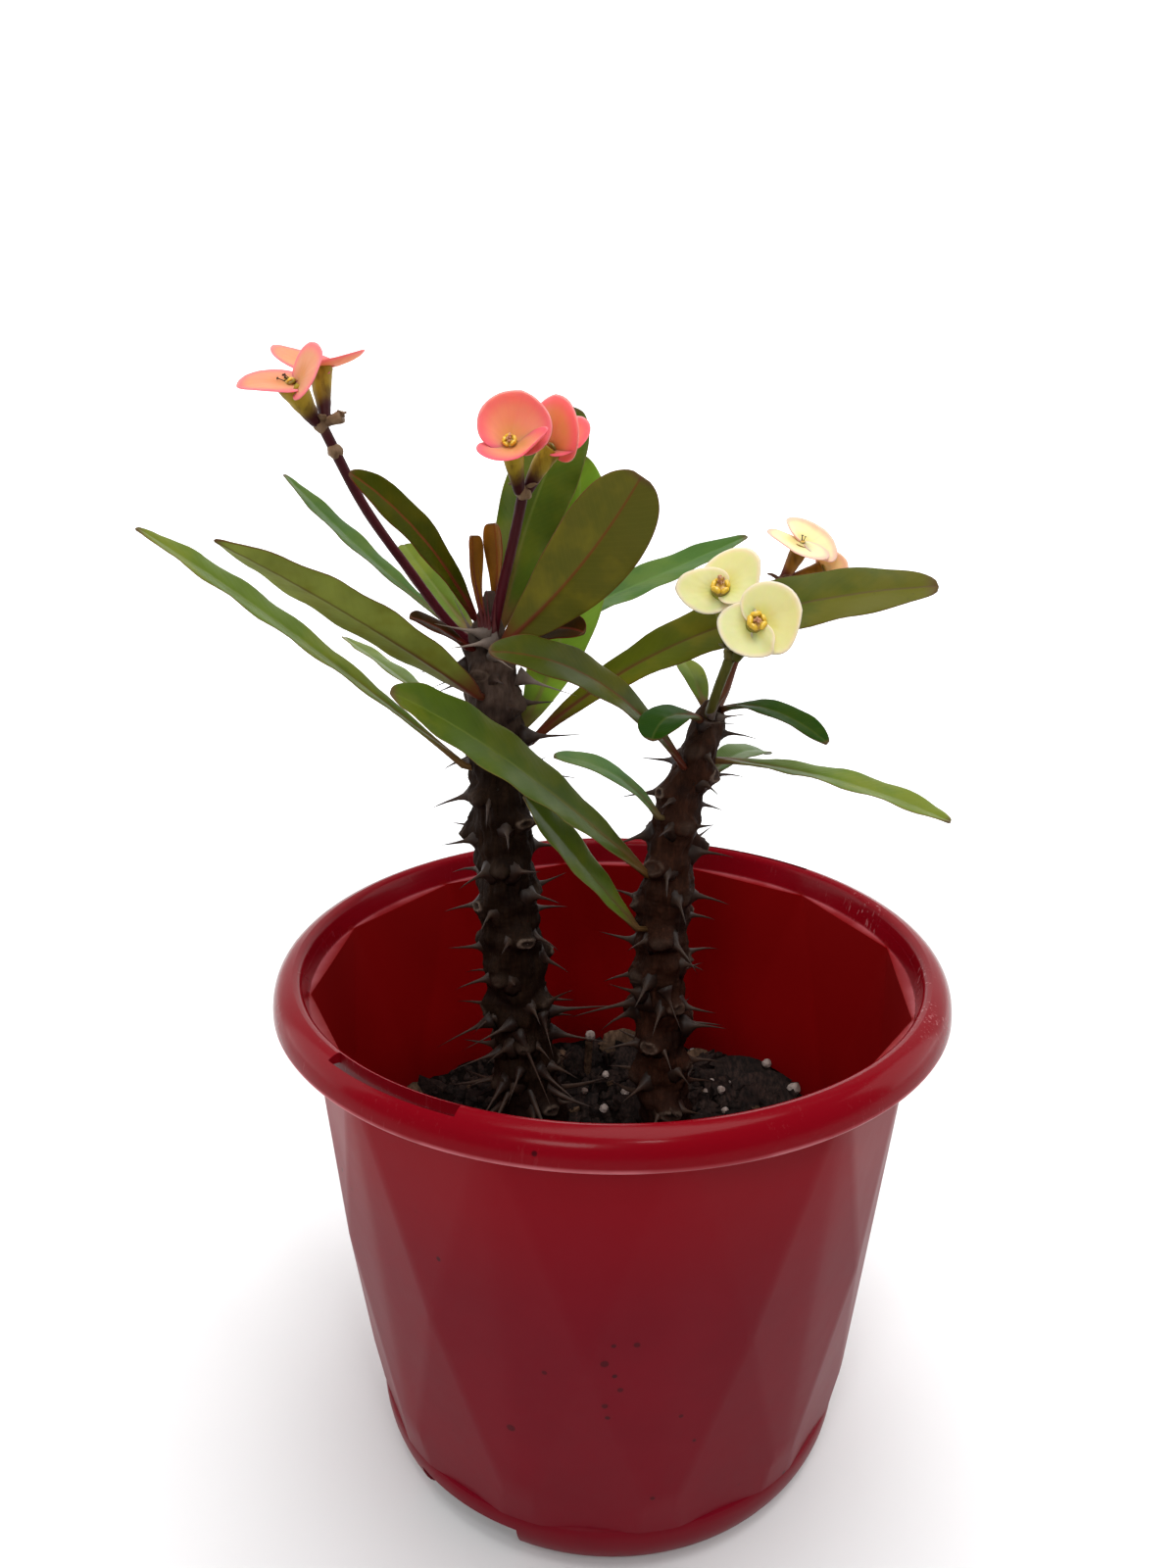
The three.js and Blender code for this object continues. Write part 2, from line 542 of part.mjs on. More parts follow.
function thornsOf(spec, scars) {
  const random = seeded(spec.seed);
  const thorns = [];
  for (const scar of scars) {
    const centre = axisAt(spec.axis, scar.z);
    for (const side of [-1, 1]) {
      const azimuth = scar.azimuth + side * (20 + 10 * random());
      const out = azimuth + side * (6 + 18 * random());
      const skin = skinRadius(spec, scars, azimuth, scar.z);
      const length = 8 + 6 * random();
      const rise = (random() - 0.45) * 7;
      const foot = polar(skin - 2.6, azimuth, -0.8).add(centre);
      const tip = polar(skin - 0.5, azimuth, -0.8).add(centre).add(polar(length, out, rise));
      const top = tableAt(spec.girth, scar.z) / 9;
      if (misses(foot, tip)) thorns.push({ foot, tip, width: 2.9 * Math.min(1, top + 0.1) });
    }
  }
  const { count, z, reach, tipZ } = spec.claws;
  for (let i = 0; i < count; i++) {
    const azimuth = (i * 360) / count + 24 * random();
    const centre = axisAt(spec.axis, z);
    const foot = polar(6, azimuth, (random() - 0.5) * 9).add(centre);
    const tip = polar(reach * (0.75 + 0.3 * random()), azimuth + 14, tipZ - z + 5 * random());
    thorns.push({ foot, tip: tip.add(centre), width: 2.4 });
  }
  return thorns;
}

// grow swells the whole stem, for cutting its neighbours clear of it.
function makeStem(spec, grow) {
  const scars = scarsOf(spec);
  const low = spec.axis[0][2];
  const high = spec.axis[spec.axis.length - 1][2];
  const shape = new THREE.CylinderGeometry(1, 1, 1, 9, 26);
  const at = shape.getAttribute("position");
  for (let i = 0; i < at.count; i++) {
    const z = lerp(low, high, at.getY(i) + 0.5);
    const spread = Math.hypot(at.getX(i), at.getZ(i));
    const azimuth = THREE.MathUtils.radToDeg(Math.atan2(at.getX(i), -at.getZ(i)));
    const r = (skinRadius(spec, scars, azimuth, z) + grow) * Math.min(1, spread);
    const reach = z === low ? z - grow : z === high ? z + grow : z;
    const p = polar(r, azimuth, 0).add(axisAt(spec.axis, z)).setZ(reach);
    at.setXYZ(i, p.x, p.y, p.z);
  }
  const thorns = thornsOf(spec, scars).map(({ foot, tip, width }) => thorn(foot, tip, width, grow));
  return join([solidOf(shape), ...thorns]);
}

// ---- soil: a plug of mix with bark chips, grit and perlite pressed into its top ----
const mix = 0x211915;
const chipCount = 20;
const grainCount = 14;
const mounds = [ // x, y, radius, height
  [45, 24, 30, 4], [12, 50, 34, 4], [-30, -20, 40, 3], [-48, 30, 26, 3.5], [25, -38, 34, 2.5],
];

// Height of the mix at a place, mounds included.
function soilLevel(x, y) {
  const rises = mounds.map(([mx, my, r, h]) => {
    const inside = Math.max(0, 1 - ((x - mx) ** 2 + (y - my) ** 2) / r ** 2);
    return 2 * h * Math.sqrt(inside) - h;
  });
  return soilZ + Math.max(0, ...rises);
}

function makeSoil() {
  const random = seeded(5);
  const inside = faceted(
    wall + gap,
    { ...facetTop, z: 153.5 },
    facetMid,
    { ...facetLow, z: 17 + gap },
  );
  const parts = [turned([[0, 17.2], [84, 17.2], [84, soilZ], [0, soilZ]], 24)];
  for (const [x, y, r, h] of mounds) {
    const mound = new THREE.SphereGeometry(1, 12, 6).rotateX(Math.PI / 2).scale(r, r, h * 2);
    parts.push(solidOf(mound.translate(x, y, soilZ - h)));
  }
  const scatter = (reach) => polar(reach * Math.sqrt(random()), 360 * random(), 0);
  for (let i = 0; i < chipCount; i++) {
    const chip = new THREE.BoxGeometry(9 + 8 * random(), 6 + 4 * random(), 2.5 + 2 * random());
    chip.rotateX((random() - 0.5) * 1.1).rotateY((random() - 0.5) * 0.9).rotateZ(6.3 * random());
    const at = scatter(74);
    parts.push(solidOf(chip.translate(at.x, at.y, soilLevel(at.x, at.y) + 2 * random())));
  }
  for (let i = 0; i < grainCount; i++) {
    const at = scatter(75);
    parts.push(bead(at.setZ(soilLevel(at.x, at.y) + 1.4 * random()), 2 + 1.2 * random()));
  }
  const sump = turned(
    [[0, floorZ + gap], [61.6, floorZ + gap], [68.7, 7.5], [71.1, 13.1], [71.1, 17.6], [0, 17.6]],
    24,
  );
  const holes = Object.values(stems).map(({ axis, girth }) => {
    const low = vec(...axis[1]).setZ(axis[0][2] - gap);
    const wide = girth[1][1] + 2.5;
    return bar(low, low.clone().setZ(soilZ + 30), wide, wide, 12);
  });
  return largest(join(parts).intersect(inside).add(sump).subtract(join(holes)));
}

// ---- assembly ----
const plant = new THREE.Group();
const group = new THREE.Group();
group.add(meshOf("pot", makePot(), 0x8f1224, 0.3));
group.add(meshOf("soil", makeSoil(), mix, 0.95));

const grownStems = join(Object.values(stems).map((spec) => makeStem(spec, gap)));
for (const [name, spec] of Object.entries(stems))
  plant.add(meshOf(name, makeStem(spec, 0), spec.color, 0.85));
for (const [name, spec] of Object.entries(leaves)) {
  const stem = name.startsWith("left") ? stems.left_stem : stems.right_stem;
  const root = vec(...spec.root);
  const anchor = axisAt(stem.axis, root.z - 4).lerp(root, 0.3).toArray();
  const cols = spec.width > 19 ? 4 : 2;
  const rows = spec.width > 12 ? 8 : 5;
  const solid = blade({ ...spec, anchor }, bladeThickness, rows, cols).subtract(grownStems);
  plant.add(meshOf(name, largest(solid), spec.color, 0.5));
}
for (const [name, spec] of Object.entries(peduncles))
  plant.add(meshOf(name, largest(makePeduncle(spec).subtract(grownStems)), spec.color, 0.55));
for (const [key, spec] of Object.entries(flowers)) {
  plant.add(meshOf(`bracts_${key}`, makeBracts(spec), spec.color, 0.55));
  plant.add(meshOf(`nectar_cup_${key}`, makeCup(spec), nectar, 0.4));
}
group.add(plant);

export default group;
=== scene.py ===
import math
import random

import bmesh
import bpy
import numpy as np
from mathutils import Matrix, Vector, noise


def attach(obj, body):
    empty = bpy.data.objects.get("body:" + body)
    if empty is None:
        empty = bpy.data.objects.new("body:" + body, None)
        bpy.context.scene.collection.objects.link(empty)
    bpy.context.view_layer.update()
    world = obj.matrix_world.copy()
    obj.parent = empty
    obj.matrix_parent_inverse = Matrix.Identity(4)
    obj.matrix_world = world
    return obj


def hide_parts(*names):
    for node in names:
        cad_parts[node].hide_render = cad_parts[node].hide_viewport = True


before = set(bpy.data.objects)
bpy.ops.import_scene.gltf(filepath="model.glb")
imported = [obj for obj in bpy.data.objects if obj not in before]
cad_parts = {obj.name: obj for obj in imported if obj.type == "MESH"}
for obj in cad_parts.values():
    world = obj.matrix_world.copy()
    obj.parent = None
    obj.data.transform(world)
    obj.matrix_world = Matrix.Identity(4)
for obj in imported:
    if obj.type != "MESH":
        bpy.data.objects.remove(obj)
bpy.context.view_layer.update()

mm = 0.001  # every size below is in millimetres
scene = bpy.context.scene


def mix(a, b, t):
    return a + (b - a) * t


def clamp(value):
    return max(0.0, min(1.0, value))


def smooth(value, low, high):  # 0 below low, 1 above high
    t = clamp((value - low) / (high - low))
    return t * t * (3 - 2 * t)


def polar(radius, azimuth, z=0.0):  # azimuth in degrees from the front, -Y, towards +X
    a = math.radians(azimuth)
    return Vector((radius * math.sin(a), -radius * math.cos(a), z))


def objectOf(name, mesh):
    mesh.polygons.foreach_set("use_smooth", [True] * len(mesh.polygons))
    piece = bpy.data.objects.new(name, mesh)
    scene.collection.objects.link(piece)
    return piece


def meshOf(name, points, faces):  # points in millimetres; the new object sits at the origin
    mesh = bpy.data.meshes.new(name)
    mesh.from_pydata([(p[0] * mm, p[1] * mm, p[2] * mm) for p in points], [], faces)
    mesh.update()
    return objectOf(name, mesh)


def madeFrom(name, shape):
    mesh = bpy.data.meshes.new(name)
    shape.to_mesh(mesh)
    shape.free()
    return objectOf(name, mesh)


def ringFaces(rings, sides):  # the four corners of each cell of a round grid
    return [(ring * sides + k, ring * sides + (k + 1) % sides, (ring + 1) * sides + (k + 1) % sides,
             (ring + 1) * sides + k) for ring in range(rings - 1) for k in range(sides)]


def rodFaces(rings, sides):  # sides of a bar, its foot and its top
    top = tuple(range((rings - 1) * sides, rings * sides))
    return ringFaces(rings, sides) + [tuple(reversed(range(sides))), top]


def shift(piece, at, turn=Matrix()):
    piece.data.transform(Matrix.Translation(Vector(at) * mm) @ turn)
    return piece


def outwards(piece):  # makes the faces of a closed mesh point out
    shape = bmesh.new()
    shape.from_mesh(piece.data)
    bmesh.ops.recalc_face_normals(shape, faces=shape.faces)
    shape.to_mesh(piece.data)
    shape.free()
    return piece


def evaluated(piece):  # applies the live modifiers
    depsgraph = bpy.context.evaluated_depsgraph_get()
    depsgraph.update()
    mesh = bpy.data.meshes.new_from_object(
        piece.evaluated_get(depsgraph), preserve_all_data_layers=True, depsgraph=depsgraph)
    old = piece.data
    piece.modifiers.clear()
    piece.data = mesh
    bpy.data.meshes.remove(old)
    return piece


def joinPieces(name, pieces):  # one object, with the materials of all
    bpy.ops.object.select_all(action="DESELECT")
    for piece in pieces:
        piece.select_set(True)
    bpy.context.view_layer.objects.active = pieces[0]
    bpy.ops.object.join()
    pieces[0].name = pieces[0].data.name = name
    return pieces[0]


def addAttributes(piece, **layers):  # one number for each vertex
    for name, values in layers.items():
        layer = piece.data.attributes.new(name, "FLOAT", "POINT")
        layer.data.foreach_set("value", values)


def dress(piece, material, slot, *nodes):  # what every finished piece gets
    piece.data.materials.append(material)
    place(piece, slot, *nodes)


def place(piece, slot, *nodes):
    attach(piece, "root")
    if nodes:
        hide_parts(*nodes)


class Graph:  # what a material and a geometry tree share: adding nodes
    def add(self, kind, settings=None, inputs=None, out=0):
        node = self.tree.nodes.new(kind)
        for key, value in (settings or {}).items():
            setattr(node, key, value)
        for key, value in (inputs or {}).items():
            self.feed(node.inputs[key], value)
        return self.result(node.outputs[out])

    def feed(self, socket, value):
        if isinstance(value, Value):
            value = value.socket
        if isinstance(value, bpy.types.NodeSocket):
            self.tree.links.new(value, socket)
        elif isinstance(value, tuple) and len(value) == 3 and socket.type == "RGBA":
            socket.default_value = (*value, 1)
        else:
            socket.default_value = value


def sumOf(operation, turned=False):
    def add(self, other):
        first, second = (other, self) if turned else (self, other)
        return self.finish.add("ShaderNodeMath", {"operation": operation}, {0: first, 1: second})
    return add


class Value:  # one output of a shader node; arithmetic on it adds Math nodes
    __add__, __radd__ = sumOf("ADD"), sumOf("ADD", True)
    __sub__, __rsub__ = sumOf("SUBTRACT"), sumOf("SUBTRACT", True)
    __mul__, __rmul__ = sumOf("MULTIPLY"), sumOf("MULTIPLY", True)

    def __init__(self, finish, socket):
        self.finish, self.socket = finish, socket


class Finish(Graph):  # a material with a Principled shader
    def __init__(self, name, **constants):
        self.material = bpy.data.materials.new(name)
        self.material.use_nodes = True
        self.tree = self.material.node_tree
        self.tree.nodes.clear()
        self.shader = self.tree.nodes.new("ShaderNodeBsdfPrincipled")
        output = self.tree.nodes.new("ShaderNodeOutputMaterial")
        self.tree.links.new(self.shader.outputs[0], output.inputs["Surface"])
        self.place = self.add("ShaderNodeTexCoord", out="Object")  # in metres
        self.paint(**constants)

    def result(self, socket):
        return Value(self, socket)

    def paint(self, **sockets):
        for key, value in sockets.items():
            self.feed(self.shader.inputs[key.replace("_", " ")], value)
        return self.material

    def noise(self, scale, detail=2.0, rough=0.5, at=None):
        return self.add("ShaderNodeTexNoise", None, {
            "Vector": at or self.place, "Scale": scale, "Detail": detail, "Roughness": rough})

    def grain(self, detail, rough, *scale):  # noise squeezed along each axis
        return self.noise(1, detail, rough, self.stretched(scale))

    def cells(self, scale):
        return self.add("ShaderNodeTexVoronoi", None, {"Vector": self.place, "Scale": scale}, "Distance")

    def stretched(self, scale):
        return self.add("ShaderNodeMapping", None, {"Vector": self.place, "Scale": scale})

    def ramp(self, value, low, high):  # 0 below low and 1 above high
        return self.add("ShaderNodeMapRange", {"interpolation_type": "SMOOTHSTEP"},
                        {"Value": value, "From Min": low, "From Max": high})

    def over(self, factor, colour):  # lays a colour over those so far
        self.tone = self.blend(factor, self.tone, colour)

    def coat(self, colour, value, low, high, share=None):  # the same, where a value lies beyond low
        mask = self.ramp(value, low, high)
        self.over(mask * share if share else mask, colour)

    def done(self, rough, normal, **more):
        return self.paint(Base_Color=self.tone, Roughness=rough, Normal=normal, **more)

    def blend(self, factor, first, second):  # colours
        return self.add("ShaderNodeMix", {"data_type": "RGBA"}, {0: factor, 6: first, 7: second}, out=2)

    def maths(self, operation, value):
        return self.add("ShaderNodeMath", {"operation": operation}, {0: value})

    def attributes(self, *names):
        return [self.add("ShaderNodeAttribute", {"attribute_name": name}, out="Fac") for name in names]

    def axis(self, which):
        return self.add("ShaderNodeSeparateXYZ", None, {0: self.place}, which)

    def bump(self, height, strength, distance, **normal):
        return self.add("ShaderNodeBump", None, {
            "Height": height, "Strength": strength, "Distance": distance, **normal})


def shade(colour, share):
    return tuple(c * share for c in colour)


class Tree(Graph):  # a geometry nodes tree with named inputs
    kinds = {float: "Float", int: "Int", bpy.types.Collection: "Collection", bpy.types.Material: "Material"}

    def __init__(self, name, **inputs):
        self.tree = bpy.data.node_groups.new(name, "GeometryNodeTree")
        face = self.tree.interface
        face.new_socket("Geometry", in_out="INPUT", socket_type="NodeSocketGeometry")
        inputs = {"Pieces": bpy.types.Collection, "Material": bpy.types.Material, **inputs}
        self.names = {}
        for key, kind in inputs.items():
            made = face.new_socket(key, in_out="INPUT", socket_type="NodeSocket" + self.kinds[kind])
            self.names[key] = made.identifier
        face.new_socket("Geometry", in_out="OUTPUT", socket_type="NodeSocketGeometry")
        self.input = self.tree.nodes.new("NodeGroupInput").outputs
        self.exit = self.tree.nodes.new("NodeGroupOutput")

    def result(self, socket):
        return socket

    def grow(self, points, **inputs):
        # one of the pieces on each point; real faces with a material close the tree
        kinds = self.add("GeometryNodeCollectionInfo", None, {
            "Collection": self.input["Pieces"], "Separate Children": True, "Reset Children": True})
        grown = self.add("GeometryNodeInstanceOnPoints", None, {
            "Points": points, "Instance": kinds, "Pick Instance": True, **inputs})
        real = self.add("GeometryNodeRealizeInstances", None, {"Geometry": grown})
        dressed = self.add("GeometryNodeSetMaterial", None, {
            "Geometry": real, "Material": self.input["Material"]})
        self.tree.links.new(dressed, self.exit.inputs[0])
        return self

    def run(self, piece, **values):
        modifier = piece.modifiers.new(self.tree.name, "NODES")
        modifier.node_group = self.tree
        for key, value in values.items():
            modifier[self.names[key]] = value
        return evaluated(piece)


def scatterTree():  # loose things strewn over a surface, each turned and sized by chance
    tree = Tree("strewn", Density=float, Seed=int, Smallest=float, Largest=float, Tilt=float, Lift=float)
    given = tree.input
    onFaces = tree.add("GeometryNodeDistributePointsOnFaces", None, {
        "Mesh": given["Geometry"], "Density": given["Density"], "Seed": given["Seed"]})
    chance = {"ID": tree.add("GeometryNodeInputIndex"), "Seed": given["Seed"]}
    size = tree.add("FunctionNodeRandomValue", {"data_type": "FLOAT"}, {
        2: given["Smallest"], 3: given["Largest"], **chance}, out=1)
    lean = tree.add("FunctionNodeRandomValue", {"data_type": "FLOAT_VECTOR"}, {
        0: (-1, -1, -4), 1: (1, 1, 4), **chance})
    tilts = tree.add("ShaderNodeCombineXYZ", None, {0: given["Tilt"], 1: given["Tilt"], 2: 1.0})
    turn = tree.add("ShaderNodeVectorMath", {"operation": "MULTIPLY"}, {0: lean, 1: tilts})
    lift = tree.add("ShaderNodeCombineXYZ", None, {2: given["Lift"]})
    lifted = tree.add("GeometryNodeSetPosition", None, {"Geometry": onFaces, "Offset": lift})
    return tree.grow(lifted, Rotation=turn, Scale=size)


def grownTree():  # sets one kind of piece on each point, aimed and sized by its attributes
    tree = Tree("grown")
    named = (("kind", "INT"), ("aim", "FLOAT_VECTOR"), ("size", "FLOAT_VECTOR"))
    index, aim, size = (tree.add("GeometryNodeInputNamedAttribute", {"data_type": kind}, {"Name": key})
                        for key, kind in named)
    return tree.grow(tree.input["Geometry"], **{"Instance Index": index, "Rotation": aim, "Scale": size})


def spotsOf(name, spots, hub=None):
    # points for the tree above, from foot, tip, half width and kind; round a hub, pieces lie along the ring
    piece = meshOf(name, [spot[0] for spot in spots], [])
    aims, sizes = [], []
    for foot, tip, width, kind in spots:
        z = (tip - foot).normalized()
        x = z.cross((foot - hub).normalized()) if hub else Vector((0, 0, 1)).cross(z)
        x = x.normalized() if x.length > 0.01 else Vector((1, 0, 0))
        aims += Matrix((x, z.cross(x), z)).transposed().to_euler()[:]
        sizes += [width * mm] * 3 if hub else [width * mm, width * mm, (tip - foot).length * mm]
    for key, values in (("aim", aims), ("size", sizes)):
        piece.data.attributes.new(key, "FLOAT_VECTOR", "POINT").data.foreach_set("vector", values)
    piece.data.attributes.new("kind", "INT", "POINT").data.foreach_set("value", [spot[3] for spot in spots])
    return piece


def kindsOf(name, pieces):  # a hidden collection that a tree picks from
    kinds = bpy.data.collections.new(name)
    for piece in pieces:
        scene.collection.objects.unlink(piece)
        kinds.objects.link(piece)
    return kinds


pot = {
    "wall": 1.6, "facets": 12, "turn": 11.2,  # azimuth of the first tall facet point
    "top": (91.1, 155), "mid": (85, 85), "low": (76.7, 16),  # radius and height of the facet points
    "innerTop": 153.5, "innerLow": 17,
    "cells": 12,  # columns across half a facet, and rows down half its height
    "soften": 7.0, "softShare": 0.8,  # degrees over which the ridge of a diamond is rounded
    "round": 180, "sharp": 24,  # sides of the lip and the foot; angle of the edges that stay sharp
    "slots": (-34.4, 145.6), "slotSpan": 25.3, "gapSpan": 28.3,
    "slot": (93.2, 96.7, 156, 166), "gap": (61, 84, -1, 10.5),  # inner and outer radius, low and high
    "holes": 6, "holeRing": 38, "hole": [(0, -1), (4.5, -1), (4.5, 6), (0, 6)],
    # radius and height of the outlines
    "footLine": [(0, 0), (13, 0), (13.4, 0.15), (14.5, 2), (56, 2), (57.1, 0.15), (57.5, 0), (64.4, 0),
                 (65.5, 0.1), (67.4, 0.42), (69.1, 0.98), (70.7, 2.1), (72, 3.6), (73, 5.3), (73.8, 7.2),
                 (74.4, 9.2), (74.8, 11.4), (75, 13.6), (75, 15.2), (74.8, 15.9), (74.2, 16.6), (0, 16.6)],
    "lipLine": [(89.7, 152), (92.9, 152), (93, 157.2), (93.6, 157.9), (96.2, 158.2), (96.9, 157.7),
                (98.4, 152.1), (98.7, 151.8), (99.7, 151.8), (100, 152.3), (99.95, 153.4), (99.75, 154.8),
                (99.4, 156.1), (98.9, 157.3), (98.2, 158.4), (97.3, 159.3), (96.3, 160), (95.2, 160.5),
                (94, 160.8), (93, 160.6), (92.2, 160.1), (91.7, 159.4), (91.4, 158.6)],
    "collar": [(0, 152), (91, 152), (91, 156.5), (0, 156.5)],
    "rounding": [(0, 10), (75, 10), (75.15, 14.5), (75.5, 17), (76.15, 20.5), (77, 25), (78.3, 31.5),
                 (84, 60), (110, 165), (0, 165)],
    "sump": [(0, 4), (61.2, 4), (63.6, 4.5), (66.8, 5.9), (69.3, 8.1), (71.2, 11), (72.2, 14.5),
             (72.4, 18), (0, 18)],
    "throat": [(0, 152.6), (89.85, 152.6), (90.3, 154.6), (91.4, 158.6), (91.4, 166), (0, 166)],
    "insideFrom": 40, "insideEdge": 91.6,  # where the painted darker inside and the painted glow of the thin wall may begin and end
    # across, height and radius of the specks of dirt on the front
    "specks": [(7.5, 89.6, 1.1), (-0.7, 83.7, 1.4), (-16.3, 77.9, 0.9), (3.4, 74, 1), (-0.6, 68.5, 1.1),
               (-25.9, 54.2, 1.5), (12.6, 31.5, 0.9), (19.6, 62, 0.8)],
}
halfFacet = 180 / pot["facets"]  # degrees


def facetPlane(a, b, c):
    normal = (b - a).cross(c - a).normalized()
    return normal, normal.dot(a)


def onPlane(plane, azimuth, z):  # distance from the axis at which a plane is met
    normal, offset = plane
    d = polar(1, azimuth)
    return (offset - normal.z * z) / (normal.x * d.x + normal.y * d.y)


def facet(top, mid, low):  # corners of half a facet, and the planes of it and its neighbours
    t, m, l = polar(top[0], 0, top[1]), polar(mid[0], halfFacet, mid[1]), polar(low[0], 0, low[1])
    return (t, m, l), (facetPlane(t, m, l), facetPlane(t, m, polar(top[0], 2 * halfFacet, top[1])),
                       facetPlane(l, m, polar(low[0], 2 * halfFacet, low[1])))


def facetedBlock(inset, top, mid, low):
    # half a facet is a wedge from a tall point at 0 degrees to a middle point at halfFacet
    (t, m, l), (tall, above, below) = facet(top, mid, low)
    n = pot["cells"]
    columns = 2 * n * pot["facets"]
    points, faces = [], []
    for row in range(2 * n + 1):
        upper = row <= n
        seam = t.lerp(m, row / n) if upper else m.lerp(l, (row - n) / n)  # the slanting edge at this row
        seamTurn = math.degrees(math.atan2(seam.x, -seam.y))
        soft = min(pot["soften"], pot["softShare"] * seamTurn)
        cut = row if upper else 2 * n - row  # the column that lies on that edge
        for column in range(columns):
            wedge, step = divmod(column, n)
            i = n - step if wedge % 2 else step
            turn = seamTurn * i / cut if i < cut else (
                seamTurn + (halfFacet - seamTurn) * (i - cut) / max(n - cut, 1))
            radius = onPlane(tall if i <= cut else above if upper else below, turn, seam.z)
            if turn < soft:  # rounds the ridge
                radius -= (radius - onPlane(tall, soft, seam.z)) * (1 - turn / soft) / 2
            side = wedge // 2 * 2 * halfFacet + (2 * halfFacet - turn if wedge % 2 else turn)
            points.append(polar(radius - inset, pot["turn"] + side, seam.z))
    for cell, (a, b, c, d) in enumerate(ringFaces(2 * n + 1, columns)):
        rising = cell % columns // n % 2 == 0  # cells are split along the slanting edges
        split = rising == (cell // columns < n)
        faces += [(a, d, c), (a, c, b)] if split else [(a, d, b), (b, d, c)]
    faces += [tuple(range(columns)), tuple(range((2 * n + 1) * columns - 1, 2 * n * columns - 1, -1))]
    return meshOf("block", points, faces)


def turned(profile, sides=pot["round"]):  # a closed body of revolution; radius 0 is a single point
    points, rings, faces = [], [], []
    for radius, z in profile:
        rings.append(len(points))
        points += [polar(radius, 360 * k / sides, z) for k in range(sides if radius else 1)]
    for k in range(len(profile) - (not profile[0][0])):
        following = (k + 1) % len(profile)
        a, b = rings[k], rings[following]
        for s in range(sides):
            e = (s + 1) % sides
            if not profile[k][0]:
                faces.append((a, b + e, b + s))
            elif not profile[following][0]:
                faces.append((a + s, a + e, b))
            else:
                faces.append((a + s, a + e, b + e, b + s))
    return outwards(meshOf("turned", points, faces))


def arcBlock(turn, span, inner, outer, low, high, sides=18):
    points = [polar(radius, turn - span / 2 + span * k / sides, z) for k in range(sides + 1)
              for radius, z in ((inner, low), (outer, low), (outer, high), (inner, high))]
    faces = ringFaces(sides + 1, 4) + [(3, 2, 1, 0), tuple(4 * sides + c for c in range(4))]
    return outwards(meshOf("arc", points, faces))


def carve(piece, tool, operation="DIFFERENCE"):
    boolean = piece.modifiers.new("carve", "BOOLEAN")
    boolean.operation, boolean.object, boolean.solver = operation, tool, "EXACT"
    evaluated(piece)
    bpy.data.objects.remove(tool)


def wallRadius(azimuth, z, inset):  # faces of the faceted wall, moved inwards by inset
    turn = abs((azimuth - pot["turn"] + halfFacet) % (2 * halfFacet) - halfFacet)
    planes = facet(pot["top"], pot["mid"], pot["low"])[1]
    return min(onPlane(plane, turn, z) for plane in planes) - inset


def makePot():
    top, mid, low = pot["top"], pot["mid"], pot["low"]
    foot, lip, collar = (turned(pot[key]) for key in ("footLine", "lipLine", "collar"))
    body = facetedBlock(0, top, mid, low)
    carve(body, turned(pot["rounding"]), "INTERSECT")
    for solid in (collar, foot, lip):
        carve(body, solid, "UNION")
    carve(body, facetedBlock(pot["wall"], (top[0], pot["innerTop"]), mid, (low[0], pot["innerLow"])))
    carve(body, turned(pot["sump"]))
    carve(body, turned(pot["throat"]))
    for turn in pot["slots"]:
        carve(body, arcBlock(turn, pot["slotSpan"], *pot["slot"]))
        carve(body, arcBlock(turn, pot["gapSpan"], *pot["gap"]))
    for k in range(pot["holes"]):
        drill = turned(pot["hole"], 40)
        shift(drill, polar(pot["holeRing"], 360 * k / pot["holes"]))
        carve(body, drill)
    inside = []
    for vertex in body.data.vertices:
        x, y, z = vertex.co / mm
        near = min(wallRadius(math.degrees(math.atan2(x, -y)), z, pot["wall"] / 2), pot["insideEdge"])
        inside.append(float(math.hypot(x, y) < near and z > pot["insideFrom"]))
    addAttributes(body, inside=inside)
    body.name = body.data.name = "redPot"
    body.data.polygons.foreach_set("use_smooth", [True] * len(body.data.polygons))
    body.data.set_sharp_from_angle(angle=math.radians(pot["sharp"]))
    body.data.materials.clear()
    dress(body, potPlastic(), "pot_plastic", "pot")
    print("pot:", len(body.data.polygons), "faces")


